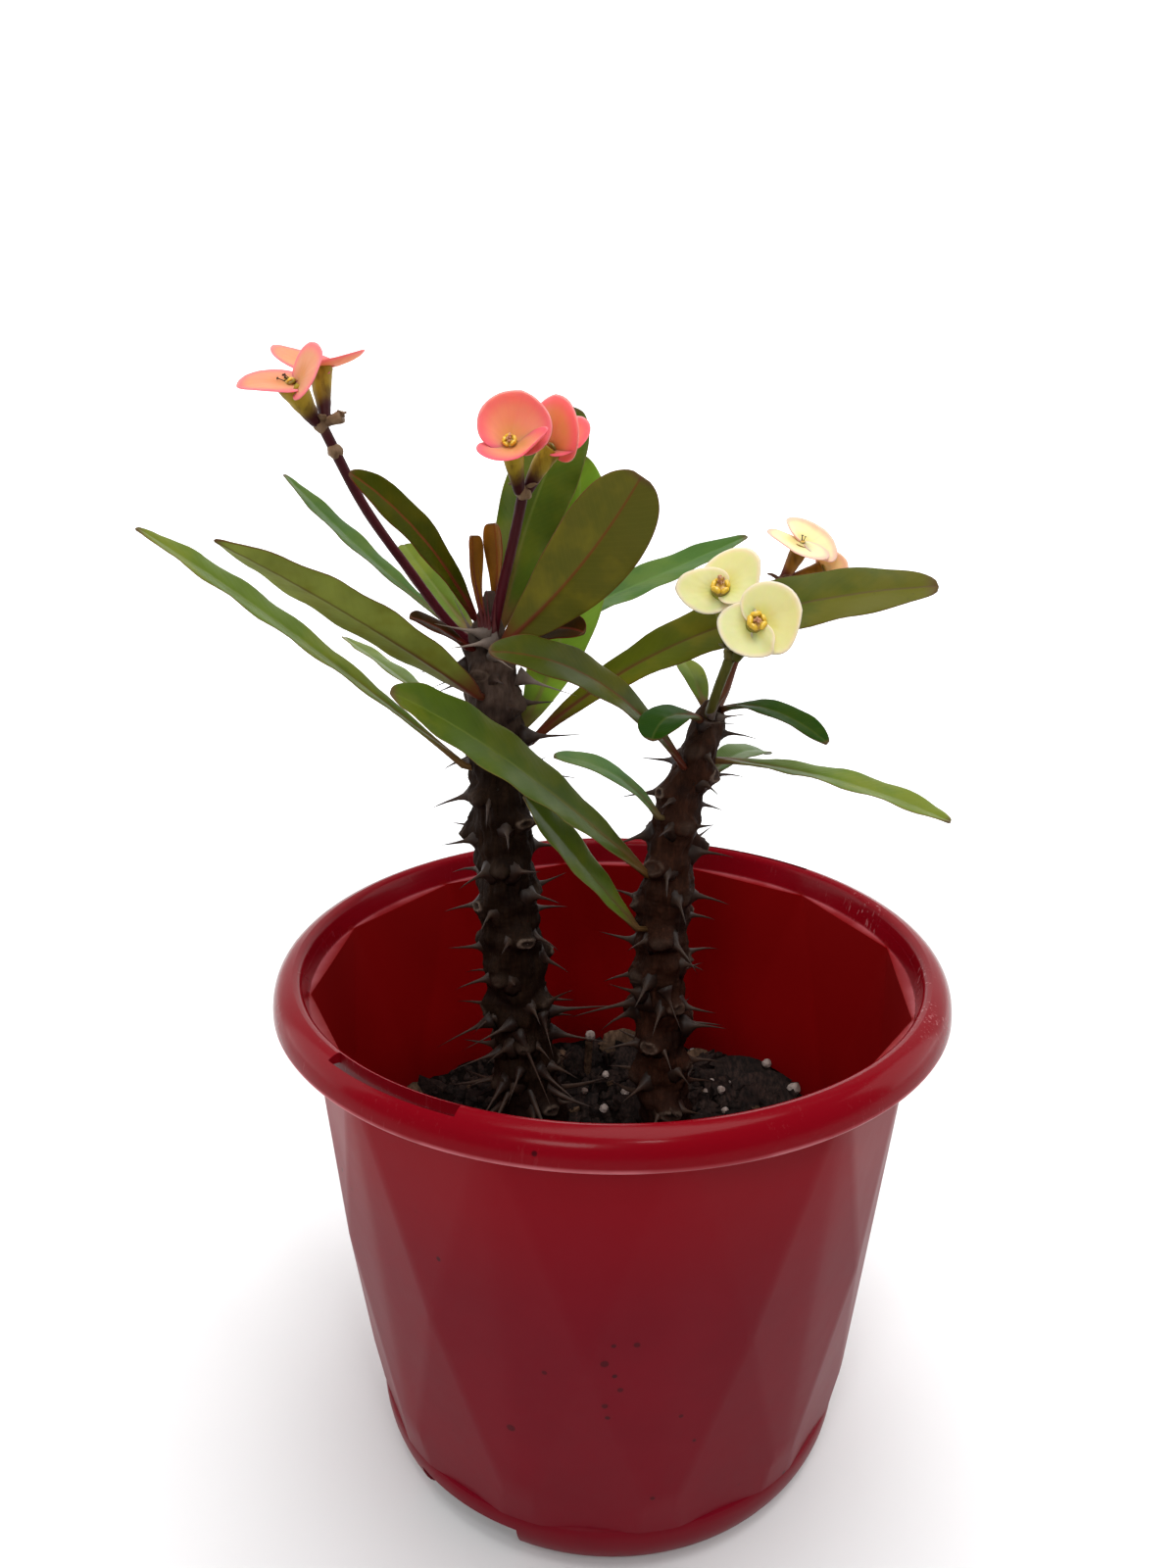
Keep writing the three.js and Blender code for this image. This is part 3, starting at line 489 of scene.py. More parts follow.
def potPlastic():
    finish = Finish("potPlastic", IOR=1.5, Specular_IOR_Level=0.06, Coat_Roughness=0.05,
                    Emission_Strength=1.0)
    across, depth, height = (finish.axis(k) for k in range(3))
    cloud = finish.noise(38, 3, 0.55)
    scratch = finish.grain(4, 0.7, 900, 900, 60)
    inside, = finish.attributes("inside")
    rim = finish.ramp(height, 0.1515, 0.1535)
    finish.tone = (0.22, 0.0012, 0.006)
    finish.coat((0.14, 0.0014, 0.008), height, 0.15, 0.085)  # deeper red towards the foot
    finish.coat((0.2, 0.004, 0.012), cloud, 0.3, 0.75, 0.25)
    # painted shade: the lip is painted a deeper red, where light from above falls brightest
    finish.over(rim * 0.35, (0.13, 0.0006, 0.004))
    right = finish.ramp(across, 0.062, 0.088) * finish.ramp(depth, -0.06, -0.04)
    scuff = finish.ramp(scratch, 0.56, 0.68) * finish.ramp(finish.noise(45), 0.48, 0.6) * rim
    finish.over(scuff * (0.012 + 0.45 * right), (0.62, 0.3, 0.31))
    speck = finish.ramp(finish.cells(95), 0.085, 0.05) * finish.ramp(finish.noise(21, 1), 0.5, 0.56)
    finish.over(speck * 0.8, (0.02, 0.002, 0.004))
    flat, front = finish.stretched((1, 0, 1)), finish.ramp(depth, -0.03, -0.05)
    for x, z, size in pot["specks"]:
        away = finish.add("ShaderNodeVectorMath", {"operation": "DISTANCE"},
                          {0: flat, 1: (x * mm, 0, z * mm)}, "Value")
        finish.over(finish.ramp(away, size * mm, size * 0.6 * mm) * front * 0.7, (0.03, 0.001, 0.003))
    # painted highlight: a thin pale line along the lip's lower edge
    paintedEdgeHighlight = finish.ramp(height, 0.1533, 0.1522) * finish.ramp(height, 0.1508, 0.1516)
    finish.over(paintedEdgeHighlight * (0.25 + 0.5 * finish.ramp(cloud, 0.4, 0.6)), (0.55, 0.16, 0.18))
    # painted light inside the pot: the inside is painted a darker red and given a painted glow that stands
    # in for light through the thin wall
    finish.over(inside, (0.165, 0.0006, 0.0012))
    through = finish.blend(inside * finish.ramp(height, 0.07, 0.11), (0, 0, 0), (0.028, 0, 0))
    waves = finish.bump(finish.noise(55), 0.12, 0.0012)
    return finish.done(0.3 + 0.12 * cloud - 0.17 * rim + 0.25 * scuff + 0.3 * inside,
                       finish.bump(scratch, 0.05, 0.0002, Normal=waves),
                       Coat_Weight=rim * 0.02, Emission_Color=through)  # painted glow, standing in for light through the thin wall


makePot()


soil = {
    "level": 82, "edge": 2.1,  # edge is kept from the pot's outer faces
    "rings": 80, "sides": 180, "crumb": 2.4,  # height of the crumbs
    "wallHeights": (78, 60, 40, 19), "footLine": ((71.7, 17.5), (71.5, 13.1), (68.6, 7.5), (61.4, 4.4)),
    "mounds": [  # x, y, reach and height
        (45, 24, 30, 4), (12, 50, 34, 4), (-30, -20, 40, 3), (-48, 30, 26, 3.5), (25, -38, 34, 2.5)],
    "chips": [  # x, y, turn, lean, length, width, height, pale wood or dark
        (4, 66, 8, 38, 17, 11, 3.5, True), (48, 54, -15, 32, 26, 13, 5.5, False),
        (33, 60, 20, 35, 11, 9, 4, True), (6, 56, 0, 50, 12, 9, 3, False),
        (-13, 54, 5, 62, 9, 11, 2.5, False), (-22, 40, 70, 40, 10, 7, 3, True),
        (54, 43, 15, 38, 24, 12, 5, False), (40, 38, 50, 30, 9, 8, 4, False),
        (-69, 38, 65, 40, 13, 8, 3, True), (58, 22, -40, 25, 16, 11, 4, False),
        (50, 8, 20, 15, 14, 9, 4, False), (-12, -10, 50, 10, 13, 9, 3, False),
        (36, 4, 10, -20, 12, 9, 3.5, True), (-40, 44, 10, -15, 18, 11, 3.5, False),
        (-20, 62, -30, 12, 16, 10, 3, True), (38, 52, 60, -10, 15, 9, 4, False)],
    "stick": (-8.6, 52, 82, 1.35),  # a short peeled stick that stands in the mix: its foot and half width
    "grains": [  # x, y, z and size of pale grains
        (-7.4, 52, 100.3, 1.9), (5.3, 35, 88.3, 1.5), (65, 41, 86.3, 2.2), (-1.7, 44, 89.3, 1.3),
        (-2, 25, 87.8, 1.5), (-9, 36, 87.6, 1.2), (57, 55, 88, 1.6), (38.7, 36, 88.8, 1.4)],
    # for each square metre, seed, smallest, largest, tilt, lift and what is kept from the pot's outer faces
    "strewn": {"barkChips": (12000, 3, 0.75, 1.5, 0.5, 1, 12), "paleChips": (2640, 8, 0.5, 1, 0.45, 0.8, 10),
               "grit": (90000, 4, 0.6, 2.3, 3, 0.2, 4), "perliteGrains": (900, 6, 0.45, 1, 3, 0.9, 6)},
}


def soilLevel(x, y):
    rise = 0
    for mx, my, reach, height in soil["mounds"]:
        inside = max(0, 1 - ((x - mx) ** 2 + (y - my) ** 2) / reach ** 2)
        rise = max(rise, 2 * height * math.sqrt(inside) - height)
    lumps = noise.fractal(Vector((x, y, 3)) * 0.11, 1, 2, 5)
    return soil["level"] + rise + soil["crumb"] * lumps


def soilTop(edge):  # rings of points over the mix
    points = []
    for ring in range(1, soil["rings"] + 1):
        for k in range(soil["sides"]):
            azimuth = 360 * k / soil["sides"]
            at = polar(wallRadius(azimuth, soil["level"], edge) * ring / soil["rings"], azimuth)
            points.append((at.x, at.y, soilLevel(at.x, at.y)))
    return points


def makeSoil():
    points, n = soilTop(soil["edge"]), soil["sides"]
    turns = [360 * k / n for k in range(n)]
    for z in soil["wallHeights"]:
        points += [polar(wallRadius(turn, z, soil["edge"]), turn, z) for turn in turns]
    for radius, z in soil["footLine"]:
        points += [polar(radius, turn, z) for turn in turns]
    cells = rodFaces(len(points) // n, n)
    faces = [(a, d, c, b) for a, b, c, d in cells[:-2]] + cells[-2:]
    dress(outwards(meshOf("pottingMix", points, faces)), mixFinish(), "potting_mix", "soil")


def carrier(name, edge):  # the surface that loose things are strewn on
    n = soil["sides"]
    faces = [(b, c, d, a) for a, b, c, d in ringFaces(soil["rings"], n)]
    return meshOf(name, soilTop(edge), faces + [tuple(range(n))])


def lump(name, size, rough, seed, level=2, flat=1.0):  # an uneven round grain
    shape = bmesh.new()
    bmesh.ops.create_icosphere(shape, subdivisions=level, radius=1)
    for vertex in shape.verts:
        push = 1 + rough * noise.noise(vertex.co * 1.6 + Vector((seed, 0, seed)))
        vertex.co = Vector((vertex.co.x, vertex.co.y, vertex.co.z * flat)) * push * size * mm
    return madeFrom(name, shape)


chipLook = {"cells": (7, 4), "ragged": 0.12, "narrow": 0.75, "bend": 0.35, "arch": 0.9,
            "thick": (0.75, 1.25), "under": (0.9, 0.86), "sharp": 40}


def chip(name, length, width, height, seed):  # a broken flake of bark with split ends
    chance = random.Random(seed)
    shape = bmesh.new()
    bmesh.ops.create_grid(shape, x_segments=chipLook["cells"][0], y_segments=chipLook["cells"][1], size=0.5)
    for vertex in shape.verts:
        x, y = vertex.co.x, vertex.co.y
        ragged = chance.uniform(-chipLook["ragged"], chipLook["ragged"])
        narrow = 1 - chipLook["narrow"] * abs(2 * x) ** 3
        bend = chipLook["bend"] * noise.noise(Vector((x * 3, y * 5, seed))) - chipLook["arch"] * y * y
        vertex.co = Vector((
            (x + (ragged if abs(x) > 0.49 else 0)) * length,
            (y * narrow + 0.1 * noise.noise(Vector((x * 4, seed, y)))) * width,
            height * bend))
    grown = bmesh.ops.extrude_face_region(shape, geom=shape.faces[:])
    for item in grown["geom"]:
        if isinstance(item, bmesh.types.BMVert):  # the underside is a little smaller
            item.co.z -= height * chance.uniform(*chipLook["thick"])
            item.co.x *= chipLook["under"][0]
            item.co.y *= chipLook["under"][1]
    bmesh.ops.recalc_face_normals(shape, faces=shape.faces)
    bmesh.ops.scale(shape, vec=(mm, mm, mm), verts=shape.verts)
    piece = madeFrom(name, shape)
    piece.data.set_sharp_from_angle(angle=math.radians(chipLook["sharp"]))
    return piece


def mixFinish():
    finish = Finish("pottingMix", Specular_IOR_Level=0.06)
    crumbs, cloud = finish.cells(420), finish.noise(60, 4, 0.6)
    # the mix is painted near black: partly its own dark colour, partly painted shade deep in the pot
    finish.tone = (0.002, 0.0012, 0.001)
    finish.coat((0.007, 0.004, 0.0028), cloud, 0.35, 0.7)
    finish.coat((0.013, 0.008, 0.0055), crumbs, 0.28, 0.1, 0.4)
    height = finish.noise(260, 5, 0.65) + 0.6 * crumbs
    return finish.done(0.78 + 0.15 * cloud, finish.bump(height, 0.9, 0.0016))


def barkFinish(name, dark, light):
    finish = Finish(name, Specular_IOR_Level=0.12)
    grain = finish.grain(5, 0.65, 700, 160, 700)
    finish.tone = dark
    finish.coat(light, grain, 0.35, 0.68)
    finish.coat(shade(dark, 0.45), finish.noise(90), 0.4, 0.65, 0.6)
    return finish.done(0.62 + 0.25 * grain, finish.bump(grain, 0.7, 0.0009))


def perliteFinish():
    finish = Finish("perlite", Specular_IOR_Level=0.4)
    pits = finish.cells(900)
    finish.tone = (0.36, 0.29, 0.26)
    finish.coat((0.17, 0.12, 0.1), finish.noise(160, 3), 0.42, 0.66)
    finish.coat((0.1, 0.07, 0.055), pits, 0.24, 0.08, 0.5)
    return finish.done(0.8 + 0.1 * pits, finish.bump(pits, 0.6, 0.0006))


def stickPiece():
    x, y, z, half = soil["stick"]
    points = []
    for k in range(9):
        for s in range(12):
            a = math.radians(30 * s)
            r = half * (1 + 0.12 * noise.noise(Vector((math.cos(a), math.sin(a), k * 0.7))))
            points.append((x + r * math.cos(a) + 0.1 * k, y + r * math.sin(a), z + 2 * k))
    return meshOf("stick", points, rodFaces(9, 12))


def makeLoose():
    own = {"barkChips": [], "paleChips": [stickPiece()], "grit": [], "perliteGrains": []}
    for k, (x, y, turn, lean, length, width, height, pale) in enumerate(soil["chips"]):
        piece = chip("chipPiece", length, width, height, 50 + k)
        around = Matrix.Rotation(math.radians(turn), 4, "Z") @ Matrix.Rotation(math.radians(lean), 4, "X")
        shift(piece, (x, y, soilLevel(x, y) + 1.8 + abs(lean) / 22), around)
        own["paleChips" if pale else "barkChips"].append(piece)
    for k, (x, y, z, size) in enumerate(soil["grains"]):
        own["perliteGrains"].append(shift(lump("grain", size, 0.3, 60 + k, 3), (x, y, z)))
    # the dark bark of the chips and grit is painted very dark: partly its own colour, partly painted shade
    # deep in the pot
    tree, bark = scatterTree(), barkFinish("darkBark", (0.006, 0.0032, 0.0026), (0.035, 0.02, 0.016))
    kinds = {
        "barkChips": (bark, [chip(f"chipKind{k}", 11 + k, 6 + k % 3, 2.2 + 0.4 * k, k) for k in range(5)]),
        "paleChips": (barkFinish("paleBark", (0.05, 0.026, 0.014), (0.15, 0.09, 0.055)),
                      [chip(f"paleKind{k}", 9 + k, 5, 2, 20 + k) for k in range(3)]),
        "grit": (bark, [lump(f"gritKind{k}", 1.3, 0.9, k, 1, 0.7) for k in range(4)]),
        "perliteGrains": (perliteFinish(), [lump(f"whiteKind{k}", 2.0, 0.5, 9 + k) for k in range(3)])}
    for name, (density, seed, smallest, largest, tilt, lift, edge) in soil["strewn"].items():
        material, pieces = kinds[name]
        spread = tree.run(carrier(name, edge), Pieces=kindsOf(name, pieces), Material=material,
                          Density=float(density), Seed=seed, Smallest=float(smallest),
                          Largest=float(largest), Tilt=float(tilt), Lift=lift * mm)
        for piece in own[name]:
            piece.data.materials.append(material)
        if own[name]:
            spread = joinPieces(name, [spread] + own[name])
        place(spread, "potting_mix")
        print(name, len(spread.data.polygons), "faces")


makeSoil()
makeLoose()


goldenTurn = 137.5  # degrees from one leaf scar to the next

stems = {
    "left_stem": {
        "seed": 11, "turn": 40, "scars": (96, 252, 4.7),  # from and to which height, and pitch
        "axis": [(-26, 20, 58), (-26, 20, 85), (-28, 20, 103), (-30, 20, 129), (-32, 20, 156),
                 (-34, 20, 185), (-35, 20, 205), (-36, 20, 229), (-37, 19, 250), (-36, 17, 265)],
        "girth": [(58, 10), (84, 12), (96, 10.5), (110, 9.6), (160, 9.6), (205, 9), (235, 8), (247, 7),
                  (254, 4.5), (259, 3), (266, 1.6)],
        "claws": (9, 101, 30, 90),  # count, height of the feet, reach and height of the tips
        "spines": [  # foot, tip and half width of the large ones
            ((-38, 13, 128), (-57, 8, 121), 1.9), ((-31, 11, 128), (-47, 0, 123.5), 1.8),
            ((-30, 12, 125), (-16, -2, 100), 1.7), ((-22, 12, 131), (-17.5, 2, 119), 1.6),
            ((-22, 15, 130), (7, 14, 134.5), 1.9), ((-20, 18, 121), (1, 14, 119), 1.9),
            ((-35, 12, 117), (-52, 4, 115), 1.7), ((-29, 9, 112), (-32.5, -4, 106), 1.4),
            ((-22, 15, 132), (-12.5, 10, 142), 2.2), ((-24, 14, 110), (-8, 4, 101), 2),
            ((-34, 13, 106), (-44, -4, 97), 2.2), ((-27, 18, 221.5), (-8, 12, 223.5), 2.2),
            ((-25, 18, 209.5), (-9.3, 12, 211.3), 2), ((-43, 12, 244.5), (-57.6, 4, 243.5), 1.6),
            ((-43, 12, 241.5), (-53, 4, 240), 1.4), ((-30, 14, 216), (-20, 4, 214), 2)],
        "pale": [
            ((-34.5, 11, 252), (-46.8, 1.5, 251), 2.3), ((-36, 11, 254), (-51.5, 4, 258), 1.9),
            ((-35, 12, 247.8), (-28, 3.5, 244.6), 1.6), ((-28, 16, 240.5), (-10, 12, 235), 1.8),
            ((-30, 14, 251), (-19, 10, 258), 1.5), ((-40, 13, 252), (-46, 8, 266), 1.4)],
        "needles": [
            ((-37, 11, 254), (-40.4, 9, 277.5), 1), ((-36, 10.5, 254), (-38.4, 8, 275.2), 0.9),
            ((-35.4, 10.5, 254), (-36.3, 8, 271.8), 1), ((-34.5, 10.5, 254), (-32.8, 8, 270.6), 0.9),
            ((-37.7, 11, 255), (-41.6, 8, 268), 0.9)],
    },
    "right_stem": {
        "seed": 23, "turn": 10, "scars": (96, 226, 4.7),
        "axis": [(20, 20, 58), (19, 20, 88), (17, 20, 105), (16, 20, 125), (16, 20, 158), (18, 20, 179),
                 (20, 20, 197), (26, 20, 216), (29, 20, 229), (30, 20, 233)],
        "girth": [(58, 8), (88, 8.6), (105, 8.2), (160, 8.4), (200, 7.2), (216, 6), (228, 4.6), (233, 2)],
        "claws": (3, 100, 18, 95),
        "spines": [
            ((13, 14, 135.5), (-15, 14, 129.8), 2.8), ((10, 13, 138), (-1, 4, 145.5), 2.2),
            ((24, 15, 125.5), (37, 8, 130), 2.4), ((17, 11, 141), (22.5, 3, 129), 1.9),
            ((26, 16, 226), (37, 10, 229), 1.8)],
        "pale": [((29, 15, 229), (35, 8, 240), 1.1), ((31, 17, 228), (42, 10, 231), 1.1)],
        "needles": [],
    },
}

stemLook = {
    "sides": 130, "rows": 380, "pad": 2.1, "padReach": 4.2, "padHeight": 3.6,  # the swelling below a scar
    "knob": (3.8, 3.2), "swell": 2.1, "scar": (2.0, 1.4), "ringRise": 0.6, "eyeDent": 0.8,
    "agedFrom": 240, "agedOver": 30,  # the bark is smooth above, and aged this far below
    "wrinkle": 0.75, "crack": 0.45, "lump": 1.7, "lumpSize": 6.5,
    "rootRise": 9, "rootFlare": (0.8, 2.8),  # how roots flare at the soil
}
thornLook = {
    "spread": (20, 10), "lean": (6, 18), "length": (8, 6), "rise": 7,  # least, and what chance adds
    "half": 2.9, "clawHalf": 2.4, "clear": 2,
    "sides": 8, "oval": 1.25, "bends": (-0.9, 1.8, 0.3, -2.0),
    "straight": [(0, 1.4), (0.1, 0.98), (0.18, 0.62), (0.27, 0.33), (0.4, 0.18), (0.62, 0.1), (0.83, 0.05)],
    "slim": [(0, 0.8), (0.1, 0.6), (0.22, 0.42), (0.38, 0.33), (0.55, 0.25), (0.72, 0.17), (0.88, 0.09)],
}


def seeded(seed):  # the generator that spaces the thorns
    state = [seed]

    def times(a, b):
        return (a * b) & 0xFFFFFFFF

    def draw():
        state[0] = (state[0] + 0x6D2B79F5) & 0xFFFFFFFF
        t = times(state[0] ^ (state[0] >> 15), 1 | state[0])
        t = ((t + times(t ^ (t >> 7), 61 | t)) & 0xFFFFFFFF) ^ t
        return ((t ^ (t >> 14)) & 0xFFFFFFFF) / 4294967296
    return draw


def tableAt(table, z):
    return float(np.interp(z, [row[0] for row in table], [row[1] for row in table]))


def axisAt(axis, z):
    heights = [p[2] for p in axis]
    return Vector([*(np.interp(z, heights, [p[k] for p in axis]) for k in (0, 1)), z])


def scarsOf(spec):
    first, last, pitch = spec["scars"]
    count = math.ceil((last - first) / pitch)
    return [(first + k * pitch, spec["turn"] + k * goldenTurn) for k in range(count)]


def square(a, b, c, t):  # a curve from a to c that leans towards b
    return a * (1 - t) ** 2 + b * (2 * t * (1 - t)) + c * t * t


def bezier(spec, t):  # middle line of a blade and its direction
    a, b = Vector(spec["root"]), Vector(spec["tip"])
    c = (a + b) / 2 + Vector(spec.get("bow", (0, 0, 0))) * 2
    return square(a, c, b, t), ((c - a) * (1 - t) + (b - c) * t).normalized()


def upright(spec, along):  # the side a blade faces, square to its direction
    up = Vector(spec["face"])
    return (up - along * up.dot(along)).normalized()


def splineAt(path, t):  # centripetal spline through the points of a path
    count = len(path) - 1
    k = min(int(count * t), count - 1)
    w = count * t - k
    points = [Vector(p) for p in path]
    p1, p2 = points[k], points[k + 1]
    p0 = points[k - 1] if k else p1 * 2 - p2
    p3 = points[k + 2] if k + 2 <= count else p2 * 2 - p1
    d0, d1, d2 = (max((b - a).length, 1e-6) ** 0.5 for a, b in ((p0, p1), (p1, p2), (p2, p3)))
    m1 = ((p1 - p0) / d0 - (p2 - p0) / (d0 + d1) + (p2 - p1) / d1) * d1
    m2 = ((p2 - p1) / d1 - (p3 - p1) / (d1 + d2) + (p3 - p2) / d2) * d1
    return p1 + m1 * w + (p2 * 3 - p1 * 3 - m1 * 2 - m2) * w * w + (p1 * 2 - p2 * 2 + m1 + m2) * w ** 3


def skinRadius(spec, azimuth, z):
    plain = tableAt(spec["girth"], z)
    pads = 0
    for height, turn in scarsOf(spec):
        around = math.radians(abs((azimuth - turn + 180) % 360 - 180)) * plain / stemLook["padReach"]
        pads = max(pads, math.exp(-around ** 2 - ((z - height) / stemLook["padHeight"]) ** 2))
    return plain + stemLook["pad"] * pads * min(1, plain / 7)


def misses(foot, tip):  # a thorn leaves the leaves and the stalks clear
    lines = [([bezier(leaf, k / 20)[0] for k in range(21)], leaf["width"] / 2) for leaf in leaves.values()]
    lines += [([splineAt(stalk["path"], k / 20) for k in range(21)], stalk["radius"])
              for stalk in peduncles.values()]
    along = tip - foot
    for line, clear in lines:
        for k, at in enumerate(line):
            share = clamp((at - foot).dot(along) / along.length_squared)
            if (foot + along * share - at).length < thornLook["clear"] + clear * min(1, k * 0.15):
                return False
    return True


def thornsOf(spec):  # foot, tip, half width and kind
    draw, thorns, look = seeded(spec["seed"]), [], thornLook

    def span(key):
        return look[key][0] + look[key][1] * draw()
    for height, turn in scarsOf(spec):
        centre = axisAt(spec["axis"], height)
        for side in (-1, 1):
            azimuth = turn + side * span("spread")
            out = azimuth + side * span("lean")
            skin = skinRadius(spec, azimuth, height)
            length, rise = span("length"), (draw() - 0.45) * look["rise"]
            foot = polar(skin - 2.6, azimuth, -0.8) + centre
            tip = polar(skin - 0.5, azimuth, -0.8) + centre + polar(length, out, rise)
            width = look["half"] * min(1, tableAt(spec["girth"], height) / 9 + 0.1)
            if misses(foot, tip):
                thorns.append((foot, tip, width, (0, 2, 0, 3)[len(thorns) % 4]))
    count, height, reach, low = spec["claws"]
    centre = axisAt(spec["axis"], height)
    for k in range(count):
        azimuth = k * 360 / count + 24 * draw()
        foot = polar(6, azimuth, (draw() - 0.5) * 9) + centre
        tip = polar(reach * (0.75 + 0.3 * draw()), azimuth + 14, low - height + 5 * draw()) + centre
        thorns.append((foot, tip, look["clawHalf"], 1))
    return thorns


def stemMesh(name, spec):
    look, n = stemLook, stemLook["sides"]
    heights = np.linspace(spec["girth"][0][0], spec["girth"][-1][0] - 0.6, look["rows"])
    turns = np.arange(n) * 360 / n
    A, Z = np.meshgrid(turns, heights)
    plain = np.interp(Z, [g[0] for g in spec["girth"]], [g[1] for g in spec["girth"]])
    pads, eye, ring, knobs = (np.zeros_like(A) for _ in range(4))
    chance = random.Random(spec["seed"])
    for height, turn in scarsOf(spec):
        around = np.radians(np.abs((A - turn + 180) % 360 - 180)) * plain
        up = Z - height
        pads = np.maximum(pads, np.exp(-(around / look["padReach"]) ** 2 - (up / look["padHeight"]) ** 2))
        bulge = np.exp(-((around / look["knob"][0]) ** 2 + (up / look["knob"][1]) ** 2) ** 1.6)
        knobs = np.maximum(knobs, chance.uniform(0.1, 1.1) * bulge)
        wide, strength = chance.uniform(0.75, 1.3), chance.uniform(0.05, 1) ** 0.9
        across, tall = look["scar"]
        d = np.hypot(around / (across * wide), (up - chance.uniform(-0.6, 1.2)) / (tall * wide))
        eye = np.maximum(eye, strength * np.exp(-(d / 0.55) ** 2))
        ring = np.maximum(ring, strength * np.exp(-((d - 1) / 0.4) ** 2))
    aged = np.clip((look["agedFrom"] - Z) / look["agedOver"], 0, 1)
    scar = look["ringRise"] * ring - look["eyeDent"] * eye
    radius = plain + look["pad"] * pads * np.minimum(1, plain / 7) + scar * aged
    radius += look["swell"] * (knobs - 0.25) * aged
    points = []
    for row, z in enumerate(heights):
        centre = axisAt(spec["axis"], z)
        spread = math.exp(-((z - soil["level"]) / look["rootRise"]) ** 2) if z > soil["level"] else 1
        for k, azimuth in enumerate(turns):
            r = radius[row][k]
            p = polar(r, azimuth, z)
            fine = noise.fractal(Vector((p.x * 0.5, p.y * 0.5, z * 0.1 + spec["seed"])), 1, 2, 3)
            cross = noise.noise(Vector((p.x * 0.3, p.y * 0.3, z * 1.3)))
            swelling = noise.noise(Vector((p.x, p.y, z * 1.25 + 31 * spec["seed"])) / look["lumpSize"])
            r += (look["wrinkle"] * fine + look["crack"] * max(0, cross) * aged[row][k]
                  + look["lump"] * swelling) * min(1, plain[row][k] / 8)
            even, root = look["rootFlare"]
            r += spread * (even + root * max(0, noise.noise(Vector((p.x * 0.16, p.y * 0.16, spec["seed"])))))
            points.append(polar(r, azimuth) + centre)
    piece = meshOf(name, points, rodFaces(look["rows"], n))
    addAttributes(piece, **{key: grid.ravel().astype(np.float32)
                            for key, grid in (("pad", pads), ("eye", eye), ("ring", ring))})
    return piece


def thornKind(name, bend, stages):  # one unit long along Z and one unit in half width
    points, reach, sides = [], [], thornLook["sides"]
    for h, r in stages:
        for k in range(sides):
            a = 2 * math.pi * k / sides
            points.append((r * math.cos(a), thornLook["oval"] * r * math.sin(a) + bend * h * (h - 0.25), h))
            reach.append(h)
    last, tip = len(points) - sides, len(points)
    faces = ringFaces(len(stages), sides)
    faces += [(last + k, last + (k + 1) % sides, tip) for k in range(sides)]
    faces.append(tuple(reversed(range(sides))))
    points.append((0, bend * 0.75, 1.0))
    piece = meshOf(name, [(x / mm, y / mm, z / mm) for x, y, z in points], faces)
    addAttributes(piece, reach=reach + [1.0])
    return piece


def stemFinish(name, old, young):
    finish = Finish(name, Specular_IOR_Level=0.07)
    pad, eye, ring = finish.attributes("pad", "eye", "ring")
    height, grain, patch = finish.axis(2), finish.grain(5, 0.62, 620, 620, 110), finish.noise(85, 3, 0.6)
    finish.tone = old
    finish.coat(young, height, 0.212, 0.237)
    finish.coat(shade(old, 2.2), grain, 0.45, 0.7, 0.6)
    finish.coat((0.009, 0.004, 0.003), patch, 0.48, 0.66, 0.65)
    # painted highlight: the swellings below the scars are painted lighter
    finish.coat((0.065, 0.042, 0.03), pad * (0.5 + patch), 0.5, 0.98, 0.5)
    finish.over(finish.ramp(ring, 0.35, 0.95) * finish.ramp(grain, 0.3, 0.55) * 0.75, (0.2, 0.145, 0.11))
    finish.coat((0.02, 0.012, 0.01), eye, 0.35, 0.75, 0.85)
    finish.coat((0.42, 0.38, 0.34), eye, 0.86, 0.97, 0.8)
    finish.coat((0.01, 0.004, 0.003), height, 0.11, 0.09, 0.55)  # painted shade: darker at the foot, low in the pot
    return finish.done(0.58 + 0.3 * grain, finish.bump(grain + 0.35 * finish.noise(520, 3), 0.75, 0.0011))


def thornFinish(name, foot, middle, tip):
    finish = Finish(name, Specular_IOR_Level=0.3)
    reach, = finish.attributes("reach")
    grain = finish.noise(420, 3)
    finish.tone = foot
    finish.coat(middle, reach, 0.05, 0.4)
    finish.coat(tip, reach, 0.5, 0.95)
    finish.coat(shade(middle, 0.6), grain, 0.4, 0.7, 0.5)
    return finish.done(0.45 + 0.2 * grain, finish.bump(grain, 0.4, 0.0005))


